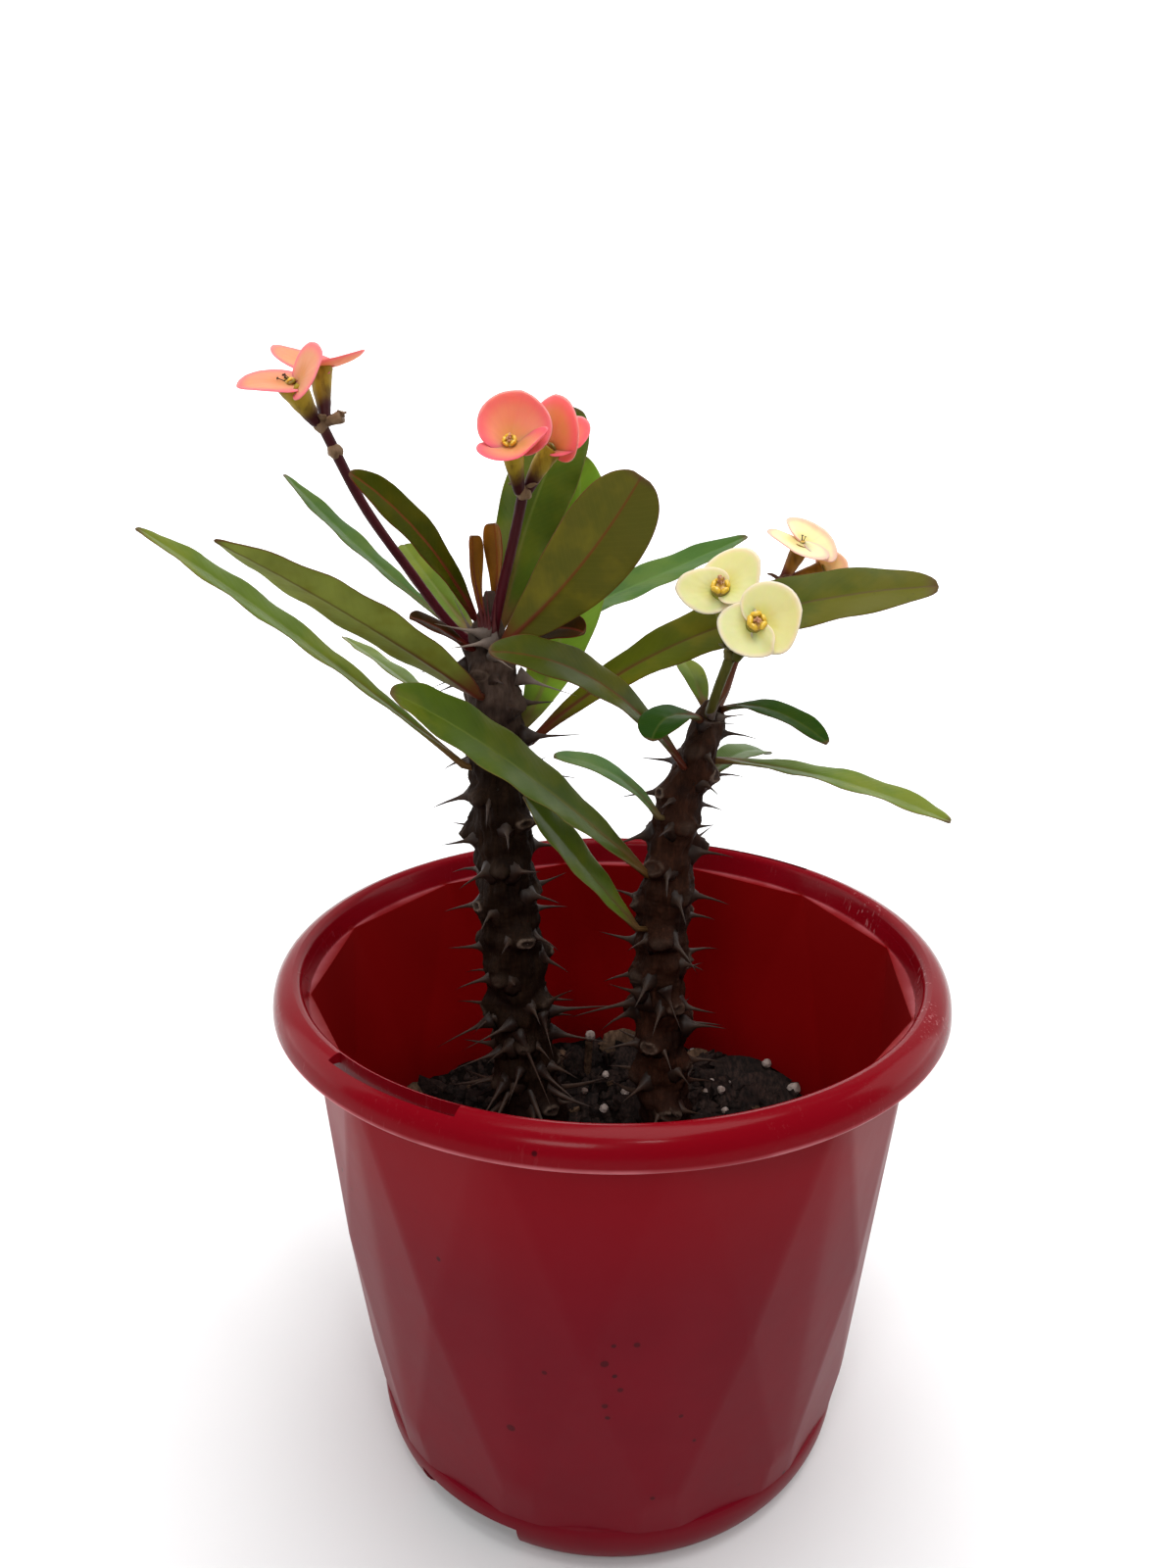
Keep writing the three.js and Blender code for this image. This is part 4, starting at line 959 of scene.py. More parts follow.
def makeStems():
    barks = {"left_stem": stemFinish("barkOld", (0.0145, 0.0068, 0.0035), (0.07, 0.045, 0.034)),
             "right_stem": stemFinish("barkYoung", (0.029, 0.0105, 0.0055), (0.034, 0.018, 0.01))}
    kinds = kindsOf("thornKinds", [
        thornKind(f"thornKind{k}", bend, thornLook["slim" if k == 1 else "straight"])
        for k, bend in enumerate(thornLook["bends"])])
    grown = grownTree()
    brown = thornFinish("thorn", (0.014, 0.006, 0.0035), (0.05, 0.027, 0.017), (0.022, 0.0105, 0.007))
    pale = thornFinish("paleThorn", (0.07, 0.048, 0.036), (0.2, 0.15, 0.12), (0.2, 0.16, 0.12))
    maroon = thornFinish("budNeedle", (0.06, 0.008, 0.008), (0.1, 0.012, 0.012), (0.035, 0.008, 0.006))
    for name, spec in stems.items():
        side = name.split("_")[0]
        stem = stemMesh(side + "Bark", spec)
        dress(stem, barks[name], "stem_bark", name)
        sets = []
        for key, material in (("spines", brown), ("pale", pale), ("needles", maroon)):
            spots = [(Vector(foot), Vector(tip), wide, k % 2 * 2 if key == "spines" else 2)
                     for k, (foot, tip, wide) in enumerate(spec[key])]
            if key == "spines":
                spots = thornsOf(spec) + spots
            if spots:
                sets.append(grown.run(spotsOf(side + key, spots), Pieces=kinds, Material=material))
        thorns = joinPieces(side + "Thorns", sets)
        place(thorns, "stem_bark")
        print(name, len(stem.data.polygons), "faces,", len(thorns.data.polygons), "on thorns")


bladeLook = {
    "crowd": 1.4, "ease": (0.03, 0.22),  # rows crowd towards the tip; where the stalk turns into the blade
    "stalkTo": 0.16, "ribWidth": 0.8, "edgeRound": (0.5, 0.2), "unevenness": 0.15,
    "leaf": {"rows": 46, "columns": (0, 0.035, 0.08, 0.15, 0.26, 0.42, 0.6, 0.78, 0.91, 0.98, 1),
             "thick": 0.75, "groove": 0.32, "rib": 0.55, "wave": 0.4, "waveLength": 19, "dish": 0.05},
    "scale": {"rows": 8, "columns": (0, 0.08, 0.18, 0.32, 0.48, 0.64, 0.79, 0.9, 0.97, 1),
              "thick": 0.4, "groove": 0.12, "rib": 0.1, "wave": 0.3, "waveLength": 11, "dish": 0.1},
}

tints = {  # upper side, underside, midrib, margin
    "olive": ((0.068, 0.081, 0.002), (0.215, 0.25, 0.04), (0.07, 0.03, 0.008), (0.1, 0.03, 0.01)),
    "darkOlive": ((0.045, 0.057, 0.004), (0.12, 0.12, 0.02), (0.1, 0.03, 0.01), (0.1, 0.03, 0.01)),
    "oliveBack": ((0.12, 0.13, 0.01), (0.1, 0.09, 0.009), (0.17, 0.028, 0.009), (0.12, 0.022, 0.008)),
    "bronze": ((0.04, 0.046, 0.002), (0.05, 0.04, 0.003), (0.17, 0.03, 0.014), (0.13, 0.02, 0.012)),
    "mahogany": ((0.022, 0.01, 0.001), (0.035, 0.016, 0.003), (0.12, 0.02, 0.01), (0.1, 0.016, 0.008)),
    "green": ((0.1, 0.155, 0.014), (0.19, 0.22, 0.05), (0.13, 0.17, 0.03), (0.2, 0.15, 0.05)),
    "leafGreen": ((0.052, 0.085, 0.004), (0.17, 0.2, 0.05), (0.1, 0.13, 0.015), (0.17, 0.13, 0.03)),
    "deepGreen": ((0.045, 0.1, 0.012), (0.12, 0.15, 0.03), (0.08, 0.14, 0.03), (0.1, 0.08, 0.025)),
    "darkGreen": ((0.013, 0.043, 0.002), (0.06, 0.09, 0.015), (0.05, 0.07, 0.012), (0.08, 0.05, 0.02)),
    "blueGreen": ((0.05, 0.118, 0.015), (0.12, 0.2, 0.05), (0.1, 0.18, 0.04), (0.12, 0.14, 0.04)),
    "paleGreen": ((0.1, 0.19, 0.06), (0.17, 0.25, 0.1), (0.15, 0.22, 0.08), (0.16, 0.17, 0.06)),
    "brightGreen": ((0.15, 0.27, 0.02), (0.2, 0.29, 0.05), (0.2, 0.28, 0.05), (0.23, 0.25, 0.06)),
    "redBrown": ((0.22, 0.085, 0.006), (0.24, 0.06, 0.01), (0.2, 0.04, 0.01), (0.2, 0.03, 0.012)),
}


def leaf(root, tip, bow, width, face, tint, **more):
    return {"root": root, "tip": tip, "bow": bow, "width": width, "face": face, "tint": tint, **more}


leaves = {
    "left_leaf_01": leaf((-45, 15, 213), (-122, -22, 287), (-3.9, 0, 5.5), 14, (0.6, -0.14, 0.78), "green",
        blunt=0.8),
    "left_leaf_02": leaf((-39, 9, 236), (-96, -40, 286), (-0.9, 0, 2.4), 17, (0.2, 0.85, 0.55), "olive",
        widest=0.46, blunt=0.9),
    "left_leaf_03": leaf((-46, 24, 252), (-106, 62, 296), (-0.6, 0, -1.5), 11, (0.45, -0.15, 0.85),
        "deepGreen", blunt=0.8),
    "left_leaf_04": leaf((-41, 17, 258), (-69, -10, 300), (2.1, 0, 3.1), 12, (0.6, -0.6, 0.5), "bronze"),
    "left_leaf_05": leaf((-42, 28, 250), (-68, 60, 274), (-1.9, 0, 1.9), 12, (0.3, -0.8, 0.5), "green"),
    "left_leaf_06": leaf((-43, 13, 250), (-56, -3, 261), (0, 0, 1.1), 8, (0.2, -0.5, 0.8), "mahogany"),
    "left_leaf_07": leaf((-32, 9, 251), (7, -22, 300), (2.1, 0, -1.6), 23, (0.2, 0.95, 0.1), "oliveBack",
        widest=0.68, blunt=0.45),
    "left_leaf_08": leaf((-34, 28, 252), (-11, 50, 316), (-2.2, 0, 2.8), 22,
        (-0.2, -0.95, 0.3), "leafGreen"),
    "left_leaf_09": leaf((-28, 24, 222), (-11, 60, 302), (5.6, -1, -4.5), 23, (-0.2, -0.95, 0.3),
        "brightGreen"),
    "left_leaf_10": leaf((-38, 27, 246), (46, 88, 274), (-4.8, 15, -4.3), 17, (0, -0.3, 0.95), "blueGreen"),
    "left_leaf_11": leaf((-25, 24, 218), (94, 18, 267), (-7.2, 2, 10), 20, (-0.2, -0.66, 0.75), "olive",
        widest=0.7, blunt=0.5),
    "left_leaf_12": leaf((-42, 29, 217), (-93, 74, 241), (-1.6, 2, 1.7), 13, (0.55, -0.05, 0.82), "green"),
    "left_leaf_13": leaf((-28, 17, 249), (-8, 2, 256), (0.1, 0, 3.1), 11, (-0.3, -0.5, 0.8), "mahogany"),
    "left_leaf_14": leaf((-31, 22, 248), (-15, 22, 263), (1, 0, -1), 10, (-0.5, -0.7, 0.5), "darkGreen"),
    "left_bud_leaf_1": leaf((-38, 14, 259), (-40, 11, 282), (-1, 0, 0), 7, (0.8, -0.5, 0.2), "redBrown",
        stalk=0.7, fold=30, widest=0.86, blunt=0.2),
    "left_bud_leaf_2": leaf((-35, 20, 260), (-34, 16, 285), (1, 0, 0), 7.5, (-0.6, -0.8, 0.2), "redBrown",
        stalk=0.7, fold=30, widest=0.84, blunt=0.2),
    "right_leaf_01": leaf((21, 13, 214), (-32, -26, 256), (1.6, -1, 9), 15, (0.5, -0.5, 0.8), "darkOlive"),
    "right_leaf_02": leaf((14, 12, 198), (-17, 2, 220), (2, 0, 3.9), 8, (0.2, -0.4, 0.9), "paleGreen"),
    "right_leaf_03": leaf((11, 12, 179), (-55, -42, 249), (-2.8, -2, 7.3), 20, (0.45, -0.45, 0.75),
        "leafGreen"),
    "right_leaf_04": leaf((8, 12, 161), (-25, -8, 211), (-1.1, 0, 1.3), 14, (0.7, -0.4, 0.6), "green"),
    "right_leaf_05": leaf((32, 19, 214), (92, -22, 209), (0.8, -1, 3.6), 14, (0.1, -0.1, 0.98), "green"),
    "right_leaf_06": leaf((30, 27, 206), (52, 58, 205), (-0.2, 0, 3.9), 12, (0, -0.2, 0.95), "deepGreen"),
    "right_leaf_07": leaf((33, 19, 230), (60, -8, 227), (-0.8, -1, 4.9), 11,
        (0.1, -0.25, 0.95), "darkGreen"),
    "right_leaf_08": leaf((25, 12, 229), (11, -13, 229), (-2.1, -2, 3.9), 13, (-0.2, -0.6, 0.75),
        "darkGreen", widest=0.6, blunt=0.45),
    "right_leaf_09": leaf((28, 27, 229), (22, 42, 240), (0.1, 0, 1.9), 9, (0.3, -0.6, 0.7), "green"),
}


def halfWidth(t, spec):
    width, stalk = spec["width"], spec.get("stalk", 1.1)
    widest, blunt = spec.get("widest", 0.64), spec.get("blunt", 0.55)
    rise = blunt * widest / (1 - widest)
    peak = widest ** rise * (1 - widest) ** blunt
    swell = t ** rise * max(1 - t, 0) ** blunt / peak
    return mix(stalk, width / 2, swell) - stalk * 0.7 * t ** 6


def blade(name, spec, kind, anchor=None, seed=1):
    # a closed sheet; both faces share the points of the margin
    look = {**bladeLook, **bladeLook[kind]}
    shares = [-s for s in reversed(look["columns"][1:])] + list(look["columns"])
    width, hidden = len(shares), 1 if anchor else 0
    rows = look["rows"] + 1 + hidden
    length = (Vector(spec["tip"]) - Vector(spec["root"])).length
    fold = math.tan(math.radians(spec.get("fold", 14)))
    upper, lower, marks = [], [], []
    for station in range(rows):
        row = max(station - hidden, 0) / look["rows"]
        t = 1 - (1 - row) ** look["crowd"]
        at, along = bezier(spec, t)
        if hidden and not station:
            at = anchor
        up = upright(spec, along)
        across = along.cross(up)
        half = halfWidth(t, spec) * (0.25 if row == 1 else 1)
        ease = smooth(t, *look["ease"])  # the stalk is round and plain
        stalk = spec.get("stalkThick", 2.2)
        thick = look["thick"] + max(0, 1 - t / look["stalkTo"]) * (stalk - look["thick"])
        thick *= 0.3 if row == 1 else 1
        for s in shares:
            out = abs(s) * half
            lift = fold * half * (math.sqrt(s * s + 0.012) - 0.11)
            lift -= look["dish"] * out * abs(s) * ease * half / 6
            ripple = math.sin(6.283 * (t * length / look["waveLength"]) + (seed + 1.7 if s > 0 else seed))
            lift += look["wave"] * abs(s) ** 3 * ripple * ease * min(1, half / 6)
            lumps = noise.noise(Vector((s * half, t * length, seed * 7)) * 0.28)
            lift += look["unevenness"] * ease * lumps
            body = thick * (1 - s * s) ** (look["edgeRound"][0] - look["edgeRound"][1] * ease)
            ridge = math.exp(-(out / look["ribWidth"]) ** 2) * ease * (1 - 0.7 * t)
            middle = at + across * (s * half)
            upper.append(middle + up * (lift + body / 2 - look["groove"] * ridge))
            lower.append(middle + up * (lift - body / 2 - look["rib"] * ridge))
            marks.append((t, s * half, (1 - abs(s)) * half, 0.5 if abs(s) == 1 else 1.0))
    index, points = [], list(upper)  # where each underside point went; the margins are shared
    for k in range(len(upper)):
        index.append(k)
        if k % width not in (0, width - 1):
            index[k] = len(points)
            points.append(lower[k])
            marks.append((*marks[k][:3], 0.0))
    faces = []
    for r in range(rows - 1):
        for k in range(width - 1):
            a, b = r * width + k, r * width + k + 1
            faces.append((a, b, b + width, a + width))
            faces.append((index[a], index[a + width], index[b + width], index[b]))
    for r in (0, rows - 1):
        loop = [r * width + k for k in range(width)]
        loop += [index[r * width + k] for k in range(width - 2, 0, -1)]
        faces.append(tuple(loop if r else reversed(loop)))
    piece = outwards(meshOf(name, points, faces))
    if hidden:  # only leaves need them
        addAttributes(piece, **dict(zip(("along", "out", "rim", "upper"), zip(*marks))))
    return piece


def leafFinish(tint):
    top, under, rib, margin = tints[tint]
    gloss = 0.02 if top[1] < 0.05 else 0.09  # dark leaves are duller
    finish = Finish("leaf_" + tint, Specular_IOR_Level=gloss)
    along, out, rim, side = finish.attributes("along", "out", "rim", "upper")
    away = finish.maths("ABSOLUTE", out)
    facing = finish.ramp(side, 0.35, 0.65)
    cloud, wobble = finish.noise(70, 3, 0.55), finish.noise(180)
    finish.tone = under
    finish.over(facing, top)
    finish.coat(shade(top, 0.6), cloud, 0.3, 0.7, 0.4)
    warm = (top[0] * 1.7 + 0.01, top[1] * 1.3, top[2] * 1.1)
    finish.coat(warm, finish.noise(34, 4, 0.62), 0.44, 0.62, 0.55)
    phase = along * 34.0 - away * 0.42 + 0.35 * wobble
    comb = finish.maths("SINE", phase * 6.283)
    vein = finish.ramp(comb, 0.82, 1.0) * finish.ramp(along, 0.06, 0.2)
    finish.over(vein * 0.07, tuple(c * 1.5 + 0.01 for c in top))
    finish.coat(rib, away, 0.85 - 0.45 * along, 0.2, 0.75 - 0.25 * along)
    finish.coat(margin, rim + 0.3 * wobble, 0.5, 0.2, 0.8)
    petiole = tuple(0.4 * c + 0.35 * red for c, red in zip(margin, (0.15, 0.014, 0.014)))
    finish.coat(petiole, along, 0.17, 0.03, 0.9)
    finish.over(finish.ramp(away, 1.2, 0.3) * finish.ramp(along, 0.5, 0.1) * 0.6, petiole)
    spot = finish.ramp(finish.cells(230), 0.12, 0.05) * finish.ramp(finish.noise(33), 0.5, 0.62)
    finish.over(spot * 0.3, (0.03, 0.02, 0.01))
    finish.coat((0.09, 0.045, 0.02), along, 0.965, 1.0, 0.8)
    return finish.done(0.42 + 0.14 * cloud - 0.08 * facing,
                       finish.bump(comb * 0.3 + finish.noise(900) * 0.4, 0.12, 0.0002))


def makeLeaves():
    finishes = {tint: leafFinish(tint) for tint in tints}
    for k, (name, spec) in enumerate(leaves.items()):
        stem = stems["left_stem" if name.startswith("left") else "right_stem"]
        root = Vector(spec["root"])
        anchor = axisAt(stem["axis"], root.z - 4).lerp(root, 0.3)  # the stalk starts inside the stem
        piece = blade(name + "_blade", spec, "leaf", anchor, k)
        dress(piece, finishes[spec["tint"]], "young_leaf" if "bud" in name else "leaf", name)


def bract(tip, face, width, root=(0, 0, 0), **more):  # tip and root are counted from the hub
    return {"tip": tip, "face": face, "width": width, "from": root, **more}


def bloom(hub, axis, fork, tint, *bracts, twist=0.5):
    return {"hub": hub, "axis": axis, "fork": fork, "tint": tint, "bracts": bracts, "twist": twist}


flowers = {
    "a1": bloom((-86, 3, 322.5), (-0.35, -0.35, 0.85), (-81, 8, 312), "salmon",
                bract((-13.5, -4, -1), (-0.1, -0.45, 0.9), 13, bow=(0, 0, 0.6)),
                bract((8, -4.8, 6.8), (-0.65, -0.6, 0.35), 16.5, root=(2.2, -0.3, 0.6))),
    "a2": bloom((-81, 17, 327), (0.1, 0.3, 0.95), (-79, 10, 313), "salmon",
                bract((-14.5, 6, 6), (0.5, -0.6, 0.6), 9, bow=(-1, 0, -0.6)),
                bract((12.5, 0, 4.5), (-0.4, 0, 0.9), 13, bow=(1, 0, -0.5))),
    "b1": bloom((-27.5, -1, 307), (-0.1, -0.75, 0.65), (-26, 7, 294), "pink",
                bract((3, 3, 13.8), (0, -0.9, -0.1), 20, bow=(0, 2, 0), fold=14),
                bract((3, -9.5, -2.4), (-0.2, -0.5, 0.85), 19.5, root=(0.8, 0, 0), bow=(0, -1, -1),
                      curl=2.5)),
    "b2": bloom((-17, 10, 305.5), (0.8, 0.2, 0.6), (-24, 8, 294), "pink",
                bract((1, 0, 14.2), (0.62, 0.75, 0), 19, bow=(-0.5, -1, 0)),
                bract((8, 6, 8.5), (-0.5, -0.7, 0.4), 16, bow=(0.5, 0.5, -0.5))),
    "c1": bloom((30.5, 11, 267), (-0.1, -0.75, 0.65), (34, 9, 249), "cream",
                bract((-13, -3, 1), (0.1, -0.75, 0.65), 14.5, bow=(0, 1, -1)),
                bract((10.8, 0, 8.3), (-0.2, -0.75, 0.6), 19, bow=(0, 1.5, 0)), twist=1.4),
    "c2": bloom((39.5, -2, 259.5), (0, -0.85, 0.5), (35, 6, 248), "cream",
                bract((12, -2, 4.2), (-0.3, -0.85, 0.4), 21, bow=(0.5, 1.5, 0)),
                bract((-7.5, -5, -6), (0.2, -0.7, 0.7), 19, root=(0, -0.7, 0), bow=(0, 1.5, -0.5),
                      twist=-2), twist=-1.4),
    "d1": bloom((57.3, 40, 277.3), (0.1, -0.35, 0.95), (52, 42, 265), "creamPink",
                bract((-2, -7.5, -2.6), (0.31, -0.42, 0.85), 20.5, root=(-1.2, 0, 0.2), bow=(0, -0.5, -0.5)),
                bract((7, 5, 3.4), (0, -0.75, 0.65), 20.5, root=(0.6, 0, -0.3), bow=(0, 1, -1)), twist=-0.2),
    "d2": bloom((64.7, 43, 268.9), (0.85, -0.1, 0.4), (53, 43, 265), "creamPink",
                bract((7.2, -2.5, 0.8), (0.15, 0.92, 0.15), 10.5, bow=(-0.5, 0, 0.3)),
                bract((6.5, 4, -2), (-0.3, -0.8, 0.5), 11, bow=(0, 0, 0.5))),
}

petalLook = {
    "sweep": 170,  # degrees to either side of a bract's middle line
    "rings": 15, "rays": 52, "thick": 0.6, "wave": 0.3, "dish": 0.35, "squeeze": 0.74,
    "crowd": 0.8, "heart": 1.2, "point": (0.008, 0.07), "uneven": 0.02,  # the shape of the edge
}

petalTints = {  # by the hub (its own colour and painted shade near the hub), middle, edge and underside, and how far the edge's colour reaches
    "salmon": ((0.58, 0.25, 0.07), (0.68, 0.29, 0.15), (0.84, 0.13, 0.2), (0.76, 0.26, 0.1), 3.6),
    "pink": ((0.6, 0.25, 0.07), (0.78, 0.24, 0.14), (0.82, 0.07, 0.14), (0.55, 0.19, 0.06), 5.5),
    "cream": ((0.55, 0.51, 0.09), (0.67, 0.64, 0.29), (0.8, 0.6, 0.42), (0.64, 0.62, 0.28), 2.2),
    "creamPink": ((0.8, 0.6, 0.22), (0.85, 0.74, 0.42), (0.84, 0.36, 0.32), (0.8, 0.55, 0.3), 3),
}

cupLook = {  # size, glands, stamens, whether they have dried, and which way they lean
    "a1": (0.7, 2, 5, True, (-1.2, 0, 0.2)), "a2": (0.55, 0, 0, True, (0, 0, 1)),
    "b1": (0.86, 5, 9, False, (0, 0, 0.4)), "b2": (0.8, 4, 8, False, (0, 0, 0.3)),
    "c1": (1.2, 5, 12, False, (0, 0, 0.7)), "c2": (1.2, 5, 12, False, (0, 0, 0.1)),
    "d1": (0.45, 0, 3, True, (0, 0, 0.3)), "d2": (0.7, 0, 6, True, (0.6, 0, 0.3)),
}
cupShape = {
    "line": [(0.0, 2.2, 0), (0.4, 2.35, 0.1), (0.8, 2.3, 0.3), (1.2, 2.1, 0.5), (1.5, 1.8, 0.8),
             (1.6, 1.5, 1), (1.6, 1.1, 1), (1.7, 0.5, 1)],  # height, radius and share of its colour
    "sunk": 0.62, "ring": 1.75, "rise": (1.7, 0.5), "gland": (1.1, 1.5),  # circle, height and size of glands
    "style": [(0, 1), (0.3, 0.8), (0.6, 0.7), (0.82, 0.75), (0.88, 2.6), (0.96, 2.2)],
    "dried": (0.8, 1.4, 0.12), "fresh": (1.3, 2.5, 0.13),  # least and greatest length, half width
    "crumbs": 46, "crease": (-4.5, 5.5), "seed": 4,
}
coneTops = {  # radius under the bracts
    "a1": 4.1, "a2": 3.3, "b1": 3.3, "b2": 3.2, "c1": 3, "c2": 3, "d1": 3.1, "d2": 2.7}

peduncles = {
    "peduncle_a": {"radius": 1.5, "tint": "maroon", "stub": (-74, 8, 314), "knots": (0.92,),
                   "path": [(-39, 18, 248), (-46, 16, 254), (-58, 14, 271), (-70, 11, 290), (-80, 9, 312)]},
    "peduncle_b": {"radius": 1.6, "tint": "maroon",
                   "path": [(-36, 15, 250), (-32, 11, 266), (-28, 9, 281), (-25, 8, 294)]},
    "peduncle_c": {"radius": 1.6, "tint": "green",
                   "path": [(29, 18, 228), (29.5, 13, 233), (31, 11, 239), (34, 8, 249)]},
    "peduncle_d": {"radius": 1.4, "tint": "brown",
                   "path": [(30, 21, 227), (34, 27, 233), (38, 33, 243), (45, 40, 255), (52, 42, 265)]},
}
stubLine = (1.5, 1.35, 1.3, 1.3, 1.35, 1.45, 1.6, 1.75, 1.7)  # radii of the stub of an older bloom

stalkTints = {  # foot, top, the knob at the fork, and the cone below the bracts
    "maroon": ((0.075, 0.003, 0.009), (0.04, 0.004, 0.006), (0.24, 0.15, 0.08), (0.37, 0.25, 0.018)),
    "green": ((0.07, 0.06, 0.01), (0.085, 0.085, 0.012), (0.12, 0.1, 0.025), (0.25, 0.26, 0.03)),
    "brown": ((0.13, 0.045, 0.022), (0.12, 0.02, 0.012), (0.13, 0.06, 0.03), (0.3, 0.13, 0.012)),
}


def tube(name, centres, radii, marks, sides=20):
    # a closed round bar along its centres; marks is one number for each ring
    points = []
    normal = Vector((0, 1, 0.3))
    for k, at in enumerate(centres):
        along = (centres[min(k + 1, len(centres) - 1)] - centres[max(k - 1, 0)]).normalized()
        normal = (normal - along * normal.dot(along)).normalized()
        other = along.cross(normal)
        for s in range(sides):
            a = 2 * math.pi * s / sides
            bumps = 1 + 0.05 * noise.noise(Vector((math.cos(a), math.sin(a), k * 0.3)) * 1.5)
            points.append(at + (normal * math.cos(a) + other * math.sin(a)) * radii[k] * bumps)
    piece = outwards(meshOf(name, points, rodFaces(len(centres), sides)))
    addAttributes(piece, rise=[mark for mark in marks for _ in range(sides)])
    return piece


def pedicel(spec, radius, wide):  # swells into the cup that carries the bracts
    fork, axis = Vector(spec["fork"]), Vector(spec["axis"]).normalized()
    top = Vector(spec["hub"]) - axis * 0.5
    middle = (fork + top) / 2 + ((top - axis * 5) - (fork + top) / 2) * 0.45
    shares = [k / 22 for k in range(23)]
    return tube("pedicel", [square(fork, middle, top, t) for t in shares],
                [mix(radius * 0.85, wide, t ** 0.8) for t in shares], [0.5 + 0.5 * t for t in shares])


def knobbed(piece):  # gives a whole piece the colour of the knob at a fork
    addAttributes(piece, rise=[0.45] * len(piece.data.vertices))
    return piece


def knob(at, radius, seed):
    return knobbed(shift(lump("knob", radius, 0.35, seed, 3), at))


def scale(at, away, size, seed):  # a dry pointed bract at a fork
    spec = {"root": at, "tip": at + away, "bow": (0, 0, 0.3), "width": size, "face": (0.1, 0.2, 0.95),
            "stalk": 0.9, "fold": 24, "widest": 0.35, "blunt": 0.9, "stalkThick": 0.9}
    return knobbed(blade("scale", spec, "scale", seed=seed))


def stalkFinish(tint):
    foot, top, knobTone, cone = stalkTints[tint]
    finish = Finish("stalk_" + tint, Specular_IOR_Level=0.15)
    rise, = finish.attributes("rise")
    grain, patch = finish.grain(4, 0.6, 500, 500, 140), finish.noise(160, 3)
    finish.tone = foot
    finish.coat(top, rise, 0.0, 0.42)
    finish.coat(cone, rise + 0.25 * patch, 0.7, 0.96)
    finish.over(finish.ramp(rise, 0.4, 0.449) * finish.ramp(rise, 0.5, 0.451) * 0.85, knobTone)
    finish.coat(shade(foot, 0.45), grain, 0.45, 0.72, 0.45)
    return finish.done(0.42 + 0.2 * grain, finish.bump(grain, 0.35, 0.0004))


def makePeduncles():
    finishes = {tint: stalkFinish(tint) for tint in stalkTints}
    for k, (name, spec) in enumerate(peduncles.items()):
        steps, radius = 46, spec["radius"]
        centres = [splineAt(spec["path"], s / steps) for s in range(steps + 1)]
        radii = [radius * (1.0 - 0.08 * math.sin(3.1 * s / steps) + 0.1 * (1 - s / steps) ** 4)
                 for s in range(steps + 1)]
        end = centres[-1]
        parts = [tube("stalk", centres, radii, [0.42 * s / steps for s in range(steps + 1)]),
                 knob(end, radius * 1.5, k)]
        parts += [pedicel(flowers[key], radius, coneTops[key]) for key in flowers if key[0] == name[-1]]
        for knot in spec.get("knots", ()):  # older forks lower down
            parts.append(knob(splineAt(spec["path"], knot), radius * 1.4, k + 20))
        for turn, size in ((20, 2.4), (150, 2.8), (260, 2.2)):
            away = polar(3.4, turn + 40 * k, 1.8)
            parts.append(scale(end + away * 0.35, away, size, turn))
        if "stub" in spec:
            stub = Vector(spec["stub"])
            parts.append(tube("stub", [end.lerp(stub, s / 8) for s in range(9)], stubLine, [0.45] * 9, 14))
            for j, turn in enumerate((30, 110, 200, 300)):
                parts.append(scale(stub, polar(1.3, turn, 0.9 + j * 0.2), 1.2, turn))
        dress(joinPieces(name + "_stalk", parts), finishes[spec["tint"]], "flower_stalk", name)


def petalFinish(tint):
    hub, middle, edge, under, broad = petalTints[tint]
    finish = Finish("bract_" + tint, Specular_IOR_Level=0.2, Subsurface_Weight=0.45, Subsurface_Scale=0.004,
                    Subsurface_Radius=(1.0, 0.5, 0.3))
    along, turn, rim, side = finish.attributes("along", "turn", "rim", "upper")
    cloud = finish.noise(140, 3)
    phase = turn * 2.9 + 0.3 * cloud  # veins fan out from the root
    comb = finish.maths("SINE", phase * 6.283)
    # the colour by the hub is partly the bract's own and partly painted shade near the hub
    finish.tone = hub
    finish.coat(middle, along, 0.12, 0.62)
    finish.coat(under, side, 0.6, 0.35)
    finish.coat(edge, rim + 1.6 * cloud, broad + 0.6, 0.9, 0.85)
    finish.coat(shade(edge, 0.8), comb, 0.5, 1.0, 0.05)
    finish.coat(edge, cloud, 0.4, 0.7, 0.15)
    return finish.done(0.52 + 0.1 * cloud, finish.bump(comb * 0.2 + finish.noise(500) * 0.6, 0.18, 0.0003))


def glandFinish(name, low, high):
    finish = Finish(name, Specular_IOR_Level=0.6)
    rise, = finish.attributes("rise")
    cloud = finish.noise(600)
    finish.tone = low
    finish.coat(high, rise, 0.25, 0.95)
    finish.coat(shade(high, 0.6), cloud, 0.4, 0.65, 0.3)
    return finish.done(0.2 + 0.2 * cloud, finish.bump(cloud, 0.3, 0.0003))


def styleFinish(name, foot, tip):
    finish = Finish(name, Specular_IOR_Level=0.4)
    reach, = finish.attributes("reach")
    cloud = finish.noise(500)
    finish.tone = foot
    finish.coat(tip, reach, 0.3, 0.9)
    finish.over(cloud * 0.5, shade(foot, 0.5))
    return finish.paint(Base_Color=finish.tone, Roughness=0.5 + 0.2 * cloud)


def glandKind(name):  # a kidney-shaped nectar gland, one unit wide
    piece = lump(name, 1.0, 0.12, 3)
    heights = []
    for vertex in piece.data.vertices:
        x, y, z = vertex.co / mm
        dent = 0.35 * math.exp(-(x / 0.4) ** 2) * (1 if y < 0 else 0)
        heights.append(clamp(z + 0.5))
        vertex.co = Vector((x, (y + dent) * 0.62, z * 0.5 - 0.1 * x * x))
    addAttributes(piece, rise=heights)
    return piece


